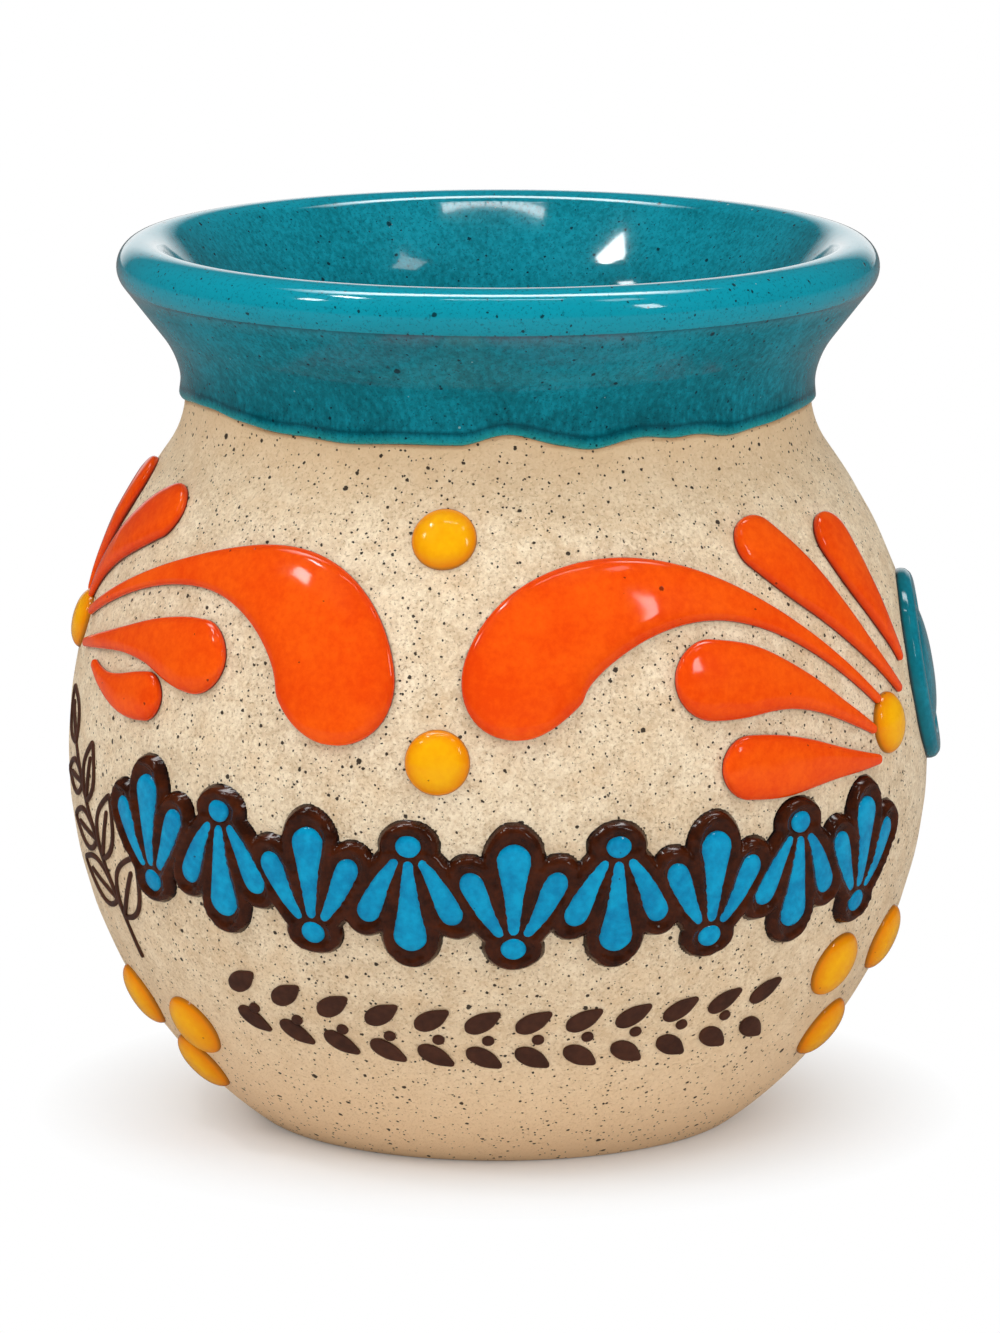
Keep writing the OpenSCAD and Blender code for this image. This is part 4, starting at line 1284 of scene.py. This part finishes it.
def layTree():
    # The input mesh's points are spots with "spotTurn", "spotHeight", "spotWay" and "spotSize". The flat
    # motif is laid on the skin at each.
    group, tree, given = geometryTree("layOnSkin", Motif=bpy.types.Object, Finish=bpy.types.Material)
    motif = tree.add("GeometryNodeObjectInfo", {}, {"Object": given["Motif"]}, "Geometry")
    motif = tree.store(motif, "flat", tree.here(), "FLOAT_VECTOR")
    inputs = {"Points": given["Geometry"], "Instance": motif}
    placed = tree.add("GeometryNodeInstanceOnPoints", {}, inputs)
    placed = tree.add("GeometryNodeRealizeInstances", {}, {"Geometry": placed})
    x, y, lift = tree.parts(tree.attribute("flat", "FLOAT_VECTOR"))
    size = tree.attribute("spotSize")
    z = tree.attribute("spotHeight")
    up = y * size * tree.attribute("spotWay") * skinAt(z, Wire.root)[1]
    turn = tree.attribute("spotTurn") + x * size / skinAt(z + up * 0.5, Wire.root)[0]
    placed = tree.move(placed, wrappedPlace(tree, turn, z + up, lift))
    closeTree(tree, placed, given["Finish"])
    return group


rimSpread = 0.999  # past this share of its radius a cap sinks in


def capTree(name, profile):
    # A flat round motif: rings of a cone lifted by a profile curve from the middle to the edge
    group, tree, given = geometryTree(
        name, Sides=int, Rings=int, Radius=float, Height=float, Sink=float, Finish=bpy.types.Material
    )
    inputs = {
        "Vertices": given["Sides"], "Side Segments": given["Rings"], "Fill Segments": 1,
        "Radius Top": 0.0, "Radius Bottom": 1.0, "Depth": 1.0,
    }
    cone = tree.add("GeometryNodeMeshCone", {}, inputs)
    x, y, _ = tree.parts(tree.here())
    out = (x * x + y * y).root().calc("MINIMUM", 1.0)
    spread = (out * (math.pi / 2)).calc("SINE")
    looks = {
        "rise": tree.add("ShaderNodeFloatCurve", {"curve": profile}, {"Value": spread}),
        "spread": spread,
        "turn": x.calc("ARCTAN2", y),
    }
    for label, value in looks.items():
        cone = tree.store(cone, label, value)
    rise, spread, turn = (tree.attribute(label) for label in looks)
    reach = spread * given["Radius"]
    lift = rise * given["Height"] - (spread > rimSpread) * given["Sink"]
    place = tree.vector(reach * turn.calc("SINE"), reach * turn.calc("COSINE"), lift)
    closeTree(tree, tree.move(cone, place), given["Finish"])
    return group


layOnSkin = layTree()


def layPiece(name, motif, spots, finish):
    # spots: rows of angle, height, way and size
    spots = np.array(spots, float)
    angle, height, way, size = spots.T
    mesh = plainMesh(
        name, onSkin(angle, height), spotTurn=angle * degree, spotHeight=height, spotWay=way, spotSize=size
    )
    piece = runTree(name, layOnSkin, {"Motif": motif, "Finish": finish}, mesh)
    dropHelper(motif)
    return piece


dotShape = {
    "centreRadius": 3.3 * mm,
    "hubRadius": 3.2 * mm,
    "triadRadius": 3.65 * mm,
    "height": 1.35 * mm,
    "sink": 0.12 * mm,
    "sides": 56,
    "rings": 18,
}
# Each row is an angle and a share of the waist's height
dots = {
    "centre_dot_upper": ("centre", [(0.6, .875)]),
    "centre_dot_lower": ("centre", [(1.2, .598)]),
    "hub_dot_left": ("hub", [(-76.8, .690)]),
    "hub_dot_right": ("hub", [(72.5, .588)]),
    "triad_left": ("triad", [(-64, .189), (-46.2, .178), (-54.6, .108)]),
    "triad_right": ("triad", [(65.3, .266), (82.5, .270), (73.7, .158)]),
}
# Heights of a dot from its middle to its edge: a dome that steepens towards the edge
dotCap = capTree("dotCap", [(0, 1), (.3, .955), (.55, .84), (.75, .65), (.88, .44), (.96, .22), (1, 0)])


def makeCap(node, slot, cap, shape, radius, finish, spots):
    # Round caps at spots of an angle and a share of the waist's height
    values = treeInputs(shape, finish, "Sides", "Rings", "Height", "Sink", Radius=radius)
    motif = runTree("capMotif", cap, values, bpy.data.meshes.new("capMotif"))
    places = [(angle, share * waistHeight, 1, 1) for angle, share in spots]
    settle(layPiece(pieceName(node), motif, places, finish), slot, node)


for node, (size, spots) in dots.items():
    makeCap(node, "yellow_enamel", dotCap, dotShape, dotShape[size + "Radius"], yellow, spots)

roundelShape = {
    "radius": 10 * mm,
    "height": 1.3 * mm,
    "sink": 0.12 * mm,
    "spot": (96.5, .623),
    "sides": 96,
    "rings": 48,
}
# A low dome, a groove and a bead round the edge
roundelCap = capTree("roundelCap", [
    (0, .95), (.28, .92), (.50, .78), (.64, .58), (.71, .55), (.78, .90), (.87, 1), (.95, .80),
    (.99, .40), (1, 0),
])
makeCap(
    "side_roundel", "turquoise_glaze", roundelCap, roundelShape, roundelShape["radius"], seaGreen,
    [roundelShape["spot"]],
)


# The band of palmettes: blue drops and beads between ridges of brown slip

bandShape = {
    "count": 9,
    "fromAngle": -42.5,
    "toAngle": 64.5,
    "middleShare": .418,
    "leftRiseShare": .046,
    "rightRiseShare": .010,
    "palmette": 12.6 * mm,
    "height": 0.78 * mm,
    "slim": 0.25,
    "dropWidth": 3.7 * mm,
    "dropPoints": 26,
    "beadRadius": 1.3 * mm,
    "beadUp": -.41,
    "roundPoints": 14,
    "margin": 1.3 * mm,
    "ridge": 0.98 * mm,  # height of the slip's ridge round a drop
    "pool": 0.62 * mm,  # height of the slip at a drop's edge
    "sink": 0.2 * mm,
    "cell": 0.25 * mm,
    "netMargin": 3.5 * mm,  # how far the ground's net reaches past the palmettes
    "netAngle": 13,  # and past the first and the last one
    "spotAngle": 14,  # a palmette shapes the ground as far as this to each side
    "edgeDrop": 1.2,  # its edge lies this many times as deep as it is sunk, and its underside
    "underDrop": 1.6,
    "stray": 0.05 * mm,  # unevenness of its outline
    "strayWays": (6, 0.5),  # by the angle, and by the millimetre upwards
    "strayRipples": ((11, 6, 2, 19), (12, 5, 1, 7)),
    "liftUneven": 0.05,
    "liftWay": 9,
    "liftRipple": (13, 5, 1, 9),
}
dropTube = {"sides": 24, "fullness": 4.0, "uneven": 0.1, "sink": 0.1 * mm}
beadTube = {**dropTube, "sides": 20, "fullness": 3.2}
# Drops from the head to the root: shares of the palmette's height sideways and upwards, and of the width
middleDrop = [(0, .46, .94), (0, .33, 1), (0, .10, .70), (0, -.30, .34)]
sideDrop = [(.38, .22, .66), (.31, .09, .72), (.21, -.12, .54), (.09, -.31, .30)]


def rowSpots(shape):
    # Spots along a row that rises to both ends: angle, height, way up and size
    spots = []
    for i in range(shape["count"]):
        x = 2 * i / (shape["count"] - 1) - 1
        angle = shape["fromAngle"] + (shape["toAngle"] - shape["fromAngle"]) * (x + 1) / 2
        rise = shape["leftRiseShare"] if x < 0 else shape["rightRiseShare"]
        spots.append([angle, (shape["middleShare"] + rise * x * x) * waistHeight, 1, 1])
    return spots


def bandSpots():
    # Palmettes stand upright and hang down in turn
    spots = rowSpots(bandShape)
    for spot in spots[1::2]:
        spot[2] = -1
    return spots


def dropStrokes():
    shape = bandShape
    strokes = []
    for table, side in ((middleDrop, 1), (sideDrop, 1), (sideDrop, -1)):
        rows = [(x * side * shape["palmette"], y * shape["palmette"], width) for x, y, width in table]
        strokes.append(strokePoints(shape, rows, shape["dropWidth"], shape["dropPoints"], False))
    return strokes


def beadStroke():
    shape = bandShape
    return roundStroke(shape, shape["beadRadius"], up=shape["beadUp"] * shape["palmette"])


def flatMotif(name, strokes, shape, finish):
    values = treeInputs(shape, finish, *strokeLabels)
    return runTree(name, flatStroke, values, strokeMesh(name, strokes))


def slipHeight(apart):
    # Height of the slip by the distance from the nearest drop's edge
    shape = bandShape
    points = [
        (-1.2, .30), (-0.25, .55), (0, shape["pool"] / mm), (.22, .86), (.45, shape["ridge"] / mm),
        (.75, .88), (1.0, .62), (1.18, .30), (shape["margin"] / mm, 0), (1.5, -.5),
    ]
    xs, ys = zip(*points)
    return np.interp(apart / mm, xs, ys) * mm


def groundNet():
    # A net over the band: its angles, heights and the distance of each point from the nearest drop's edge
    shape = bandShape
    strokes = dropStrokes() + [beadStroke()]
    flat = np.concatenate([stroke[0][:, :2] for stroke in strokes])
    half = np.concatenate([stroke[1] for stroke in strokes])
    levels = [z for _, z, _, _ in bandSpots()]
    reach = shape["palmette"] / 2 + shape["netMargin"]
    step = shape["cell"] / (wall["bellyRadius"] * degree)
    angles = np.arange(shape["fromAngle"] - shape["netAngle"], shape["toAngle"] + shape["netAngle"], step)
    heights = np.arange(min(levels) - reach, max(levels) + reach, shape["cell"])
    angle, z = np.meshgrid(angles, heights, indexing="ij")
    apart = np.full(angle.shape, 1.0)
    for spotAngle, spotZ, way, _ in bandSpots():
        # Each palmette's drops as discs in the skin's own sideways and upwards lengths
        dropAngle, dropZ = moved(spotAngle, np.full(len(flat), spotZ), flat[:, 0], flat[:, 1] * way)
        near = abs(angles - spotAngle) < shape["spotAngle"]
        a, h, best = angle[near], z[near], apart[near]
        radius, outward, _ = skinAt(h)
        for da, dz, r in zip(dropAngle, dropZ, half):
            best = np.minimum(best, np.hypot((a - da) * degree * radius, (h - dz) / outward) - r)
        apart[near] = best
    return angle, z, apart


def cellsAround(inside):
    # The net's cells with a point inside. Cells that meet at a corner alone would pinch the mesh there,
    # so a third one joins them.
    keep = inside[:-1, :-1] | inside[1:, :-1] | inside[:-1, 1:] | inside[1:, 1:]
    for _ in range(2):
        keep[1:, :-1] |= keep[:-1, :-1] & keep[1:, 1:] & ~keep[1:, :-1] & ~keep[:-1, 1:]
        keep[:-1, :-1] |= keep[1:, :-1] & keep[:-1, 1:] & ~keep[:-1, :-1] & ~keep[1:, 1:]
    return keep


def makeSlipGround():
    shape = bandShape
    angle, z, apart = groundNet()
    (roundWay, upWay), (roundRipple, upRipple) = shape["strayWays"], shape["strayRipples"]
    stray = ripple(angle * roundWay * degree, *roundRipple) * ripple(z / mm * upWay, *upRipple)
    lift = slipHeight(apart + shape["stray"] * stray)
    uneven = ripple(angle * shape["liftWay"] * degree + z / mm, *shape["liftRipple"])
    lift = lift * (1 + shape["liftUneven"] * uneven)
    columns, levels = np.where(cellsAround(lift > -shape["sink"]))
    lift = np.maximum(lift, -shape["sink"] * shape["edgeDrop"])
    rows = angle.shape[1]
    corner = columns * rows + levels
    quads = np.stack([corner, corner + rows, corner + rows + 1, corner + 1], -1)
    used, quads = np.unique(quads, return_inverse=True)
    quads = quads.reshape(-1, 4)
    count = len(used)
    angle, z, lift = (net.ravel()[used] for net in (angle, z, lift))
    top, bottom = onSkin(angle, z, lift), onSkin(angle, z, -shape["sink"] * shape["underDrop"])
    # Walls along the edges that only one quad has
    edges = np.concatenate([quads[:, [k, (k + 1) % 4]] for k in range(4)])
    seen = {tuple(edge) for edge in edges.tolist()}
    walls = [(b, a, a + count, b + count) for a, b in seen if (b, a) not in seen]
    faces = quads.tolist() + (quads[:, ::-1] + count).tolist() + walls
    rise = np.concatenate([np.clip(lift / shape["ridge"], 0, 1), np.zeros(count)])
    return meshPiece("bandGround", np.concatenate([top, bottom]), faces, slip, rise=rise)


settle(makeSlipGround(), "brown_slip", "band_ground")
dropMotif = flatMotif("dropMotif", dropStrokes(), dropTube, blue)
settle(layPiece("bandDrops", dropMotif, bandSpots(), blue), "blue_enamel", "band_drops")
beadMotif = flatMotif("beadMotif", [beadStroke()], beadTube, blue)
settle(layPiece("bandBeads", beadMotif, bandSpots(), blue), "blue_enamel", "band_beads")


# The lower row: pairs of leaves with berries between

leafShape = {
    "count": 12,
    "fromAngle": -32,
    "toAngle": 48,
    "middleShare": .212,
    "leftRiseShare": .032,
    "rightRiseShare": .014,
    "length": 4.2 * mm,
    "width": 2.3 * mm,
    "height": 0.32 * mm,
    "slim": 0.3,
    "lean": 34,
    "apartShare": .54,
    "berryRadius": 0.63 * mm,
    "berryBackShare": .06,
    "sides": 16,
    "fullness": 2.8,
    "uneven": 0.1,
    "sink": 0.1 * mm,
    "leafPoints": 20,
    "roundPoints": 14,
}
# Rows of a leaf from its foot to its tip: a share of its length, and one of its width
leafTable = [(0, .55), (.28, .95), (.62, .90), (1, .20)]


def leafStrokes():
    # Two leaves that lean apart along the row, and the berry that stands before their feet
    shape = leafShape
    lean = shape["lean"] * degree
    strokes = []
    for side in (-1, 1):
        rows = []
        for share, width in leafTable:
            out = share * shape["length"]
            up = out * math.sin(lean) + shape["apartShare"] * shape["width"]
            rows.append((out * math.cos(lean), side * up, width))
        strokes.append(strokePoints(shape, rows, shape["width"], shape["leafPoints"], False))
    pitch = (shape["toAngle"] - shape["fromAngle"]) / (shape["count"] - 1) * degree
    back = (-0.5 - shape["berryBackShare"]) * pitch * skinAt(shape["middleShare"] * waistHeight)[0]
    return strokes, roundStroke(shape, shape["berryRadius"], across=back)


def makeLeafRow():
    # The first pair of leaves has no berry before it
    leaves, berry = leafStrokes()
    spots = rowSpots(leafShape)
    leafMotif = flatMotif("leafMotif", leaves, leafShape, matteSlip)
    berryMotif = flatMotif("berryMotif", [berry], leafShape, matteSlip)
    pairs = layPiece("leafRow", leafMotif, spots, matteSlip)
    berries = layPiece("berryRow", berryMotif, spots[1:], matteSlip)
    settle(joined(pairs, berries), "brown_slip", "leaf_row")


def joined(piece, *others):
    # One mesh from several of the same finish
    work = bmesh.new()
    for part in (piece, *others):
        work.from_mesh(part.data)
    work.to_mesh(piece.data)
    work.free()
    for part in others:
        dropHelper(part)
    return piece


makeLeafRow()


# A sprig drawn in thin slip lines on the left side: a curved stem, pairs of veined leaves and a bud

sprigShape = {
    "angle": -61.5,
    "middle": 33 * mm,
    "line": 0.62 * mm,
    "height": 0.2 * mm,
    "slim": 0.3,
    "pairs": 3,
    "firstPair": 0.26,  # shares of the stem's length
    "pairStep": 0.25,
    "pairOffset": 0.04,
    "wayStep": 0.02,
    "leafLength": 9.4 * mm,
    "leafHalf": 2.3 * mm,
    "leafTurn": 52,
    "leafSkew": 0.85,
    "leafPoints": 9,
    "veinPoints": 7,
    "budShare": 0.7,  # of a leaf's length
    "smaller": 0.13,  # each pair is shorter than the one below it by this share
    "points": 22,
    "sides": 10,
    "fullness": 2.4,
    "uneven": 0.3,
    "sink": 0.1 * mm,
}
# The stem from its foot to its top, in millimetres sideways and upwards from the sprig's middle
sprigStem = [(6.5, -13.0), (5.4, -8.0), (2.8, -2.2), (-0.6, 3.2), (-4.2, 8.0)]


def sprigLines():
    shape = sprigShape
    stem = np.array(sprigStem) * mm
    lines = [stem]

    def addLeaf(share, turn, length, half):
        # A leaf that leaves the stem at a share of its length, turned from it by an angle
        before, foot = along(stem, np.array([share - shape["wayStep"], share]))
        way = (foot - before) / np.linalg.norm(foot - before)
        c, s = math.cos(turn * degree), math.sin(turn * degree)
        way = np.array([way[0] * c - way[1] * s, way[0] * s + way[1] * c])
        shares = np.linspace(0, 1, shape["leafPoints"])[:, None]
        swell = half * np.sin(math.pi * shares ** shape["leafSkew"]) * np.array([-way[1], way[0]])
        centre = foot + way * length * shares
        lines.extend([centre + swell, centre - swell, centre[:shape["veinPoints"]]])

    for i in range(shape["pairs"]):
        size = 1 - shape["smaller"] * i
        for side in (-1, 1):
            share = shape["firstPair"] + shape["pairStep"] * i + shape["pairOffset"] * side
            addLeaf(share, side * shape["leafTurn"], shape["leafLength"] * size, shape["leafHalf"] * size)
    addLeaf(1.0, 0, shape["leafLength"] * shape["budShare"], shape["leafHalf"])
    return lines


def makeSprig():
    shape = sprigShape
    strokes = []
    for line in sprigLines():
        angle, z = moved(shape["angle"], shape["middle"] + np.zeros(len(line)), line[:, 0], line[:, 1])
        rows = np.stack([angle, z / waistHeight, np.ones(len(line))], -1)
        strokes.append(strokePoints(shape, rows, shape["line"], shape["points"], True))
    values = treeInputs(shape, matteSlip, *strokeLabels)
    settle(runTree("sprigLines", skinStroke, values, strokeMesh("sprigLines", strokes)), "brown_slip")


makeSprig()


# Camera and stage

view = {
    "azimuth": 9,
    "distance": 828 * mm,
    "height": 207.7 * mm,
    "aside": 0.2 * mm,
    "pitch": 11,
    "lens": 218.2,
    "sensor": 36,
    "clipFrom": 0.05,
    "clipTo": 30,
}


def around(azimuth, distance, height):
    turn = azimuth * degree
    return Vector((distance * math.sin(turn), -distance * math.cos(turn), height))


def makeCamera():
    camera = bpy.data.cameras.new("photoCamera")
    camera.lens = view["lens"]
    camera.sensor_width = view["sensor"]
    camera.sensor_fit = "AUTO"
    camera.clip_start, camera.clip_end = view["clipFrom"], view["clipTo"]
    holder = linkObject("photoCamera", camera)
    turn = view["azimuth"] * degree
    aside = Vector((math.cos(turn), math.sin(turn), 0)) * view["aside"]
    holder.location = around(view["azimuth"], view["distance"], view["height"]) + aside
    pitch = view["pitch"] * degree
    forward = Vector((-math.sin(turn) * math.cos(pitch), math.cos(turn) * math.cos(pitch), -math.sin(pitch)))
    holder.rotation_euler = forward.to_track_quat("-Z", "Y").to_euler()
    scene.camera = holder


# Rows are azimuth from the camera, elevation, distance, width, height and power in watts. Gloss mirrors the
# boxes alone; the wide screens give the mug its soft light and aren't seen in it.
lamps = {
    "topBox": (4, 77, 0.9, 0.34, 0.025, 0.3),
    "overheadBox": (54, 59, 0.9, 0.13, 0.12, 0.16),
    "leftBox": (-70, 60, 0.9, 0.12, 0.06, 0.6),
    "sideBox": (-66, 41, 0.9, 0.09, 0.1, 0.45),
    "rightBox": (48, 29, 1.1, 0.11, 0.28, 1.0),
    "overheadScreen": (45, 68, 1.2, 0.8, 0.6, 2.4),
    "leftScreen": (-57, 54, 1.2, 0.7, 0.7, 3.1),
    "rightScreen": (58, 24, 1.3, 0.5, 0.6, 1.1),
    "frontScreen": (0, 4, 1.6, 1.4, 0.6, 3.4),
}


lampTarget = Vector((0, 0, 45 * mm))


def makeLamps():
    for name, (azimuth, elevation, distance, width, height, power) in lamps.items():
        lamp = bpy.data.lights.new(name, "AREA")
        lamp.shape = "RECTANGLE"
        lamp.size, lamp.size_y = width, height
        lamp.energy = power
        holder = linkObject(name, lamp)
        rise = elevation * degree
        place = around(view["azimuth"] + azimuth, distance * math.cos(rise), distance * math.sin(rise))
        holder.location = lampTarget + place
        holder.rotation_euler = place.to_track_quat("Z", "Y").to_euler()
        holder.visible_glossy = name.endswith("Box")


stage = {
    "floorSize": 12.0,
    "floorColour": (0.88, 0.88, 0.88),
    "glossColour": (0.25, 0.25, 0.25),  # the floor as gloss mirrors it
    "whiteFrom": 0.022,  # from this distance on the floor turns into the white background
    "whiteTo": 0.049,
}


def makeFloor():
    half = stage["floorSize"] / 2
    corners = [(-half, -half, 0), (half, -half, 0), (half, half, 0), (-half, half, 0)]
    finish, tree, place = newFinish("floorPaper")
    x, y, _ = tree.parts(place)
    out = (x * x + y * y).root()
    far = tree.between(out, stage["whiteFrom"], stage["whiteTo"])
    path = tree.add("ShaderNodeLightPath", output="Is Camera Ray")
    colour = tree.mix(path.of("Is Glossy Ray"), stage["floorColour"], stage["glossColour"])
    paper = tree.add("ShaderNodeBsdfDiffuse", {}, {"Color": colour})
    white = tree.add("ShaderNodeEmission", {}, {"Color": (1, 1, 1), "Strength": 1.0})
    shown = tree.add("ShaderNodeMixShader", {}, [path * far, paper, white])
    under = tree.add("ShaderNodeNewGeometry", output="Backfacing")
    clear = tree.add("ShaderNodeBsdfTransparent")
    shown = tree.add("ShaderNodeMixShader", {}, [under, shown, clear])
    tree.add("ShaderNodeOutputMaterial", {}, {"Surface": shown})
    mesh = plainMesh("floorPaper", corners, faces=[(0, 1, 2, 3)])
    mesh.materials.append(finish)
    linkObject("floorPaper", mesh)


# Ranges are parts of a direction of length 1: behind the mug, aside or up
studio = {
    "roomLevel": 0.50,  # light that comes from all round
    "glossLevel": 0.06,  # what gloss mirrors of the room
    "backdropRange": (0.88, 0.97),  # a white backdrop behind the mug, and where it fades upwards
    "backdropFade": (0.4, 0.6),
    "glowLevel": 12.0,  # what gloss mirrors of the long softbox overhead
    "glowBehind": 0.16,
    "glowHalf": (0.06, 0.13),
    "glowReach": (0.322, 0.552),
    "glowRise": (0.5, 0.6),
}


def makeWorld():
    world = bpy.data.worlds.new("studio")
    scene.world = world
    world.use_nodes = True
    world.node_tree.nodes.clear()
    tree = Tree(world.node_tree)
    path = tree.add("ShaderNodeLightPath", output="Is Camera Ray")
    seen = path.calc("MAXIMUM", path.of("Is Transmission Ray"))
    # Gloss mirrors a dark studio, a white backdrop low behind the mug and the glow of the long softbox
    x, y, z = tree.parts(tree.add("ShaderNodeTexCoord", output="Generated"))
    turn = view["azimuth"] * degree
    behind = y * math.cos(turn) - x * math.sin(turn)
    aside = (x * math.cos(turn) + y * math.sin(turn)).calc("ABSOLUTE")
    backdrop = tree.between(behind, *studio["backdropRange"]) * (1 - tree.between(z, *studio["backdropFade"]))
    gloss = path.of("Is Glossy Ray")
    seen = seen.calc("MAXIMUM", gloss * backdrop)
    glow = 1 - tree.between((behind - studio["glowBehind"]).calc("ABSOLUTE"), *studio["glowHalf"])
    glow = glow * (1 - tree.between(aside, *studio["glowReach"])) * tree.between(z, *studio["glowRise"])
    level = gloss * (studio["glossLevel"] - studio["roomLevel"]) + studio["roomLevel"]
    level = level + gloss * glow * studio["glowLevel"]
    dim = tree.add("ShaderNodeBackground", {}, {"Color": (1, 1, 1), "Strength": level})
    white = tree.add("ShaderNodeBackground", {}, {"Color": (1, 1, 1), "Strength": 1.0})
    shown = tree.add("ShaderNodeMixShader", {}, [seen, dim, white])
    tree.add("ShaderNodeOutputWorld", {}, {"Surface": shown})


makeCamera()
makeLamps()
makeFloor()
makeWorld()
scene.view_settings.view_transform = "Standard"

print("scene made")
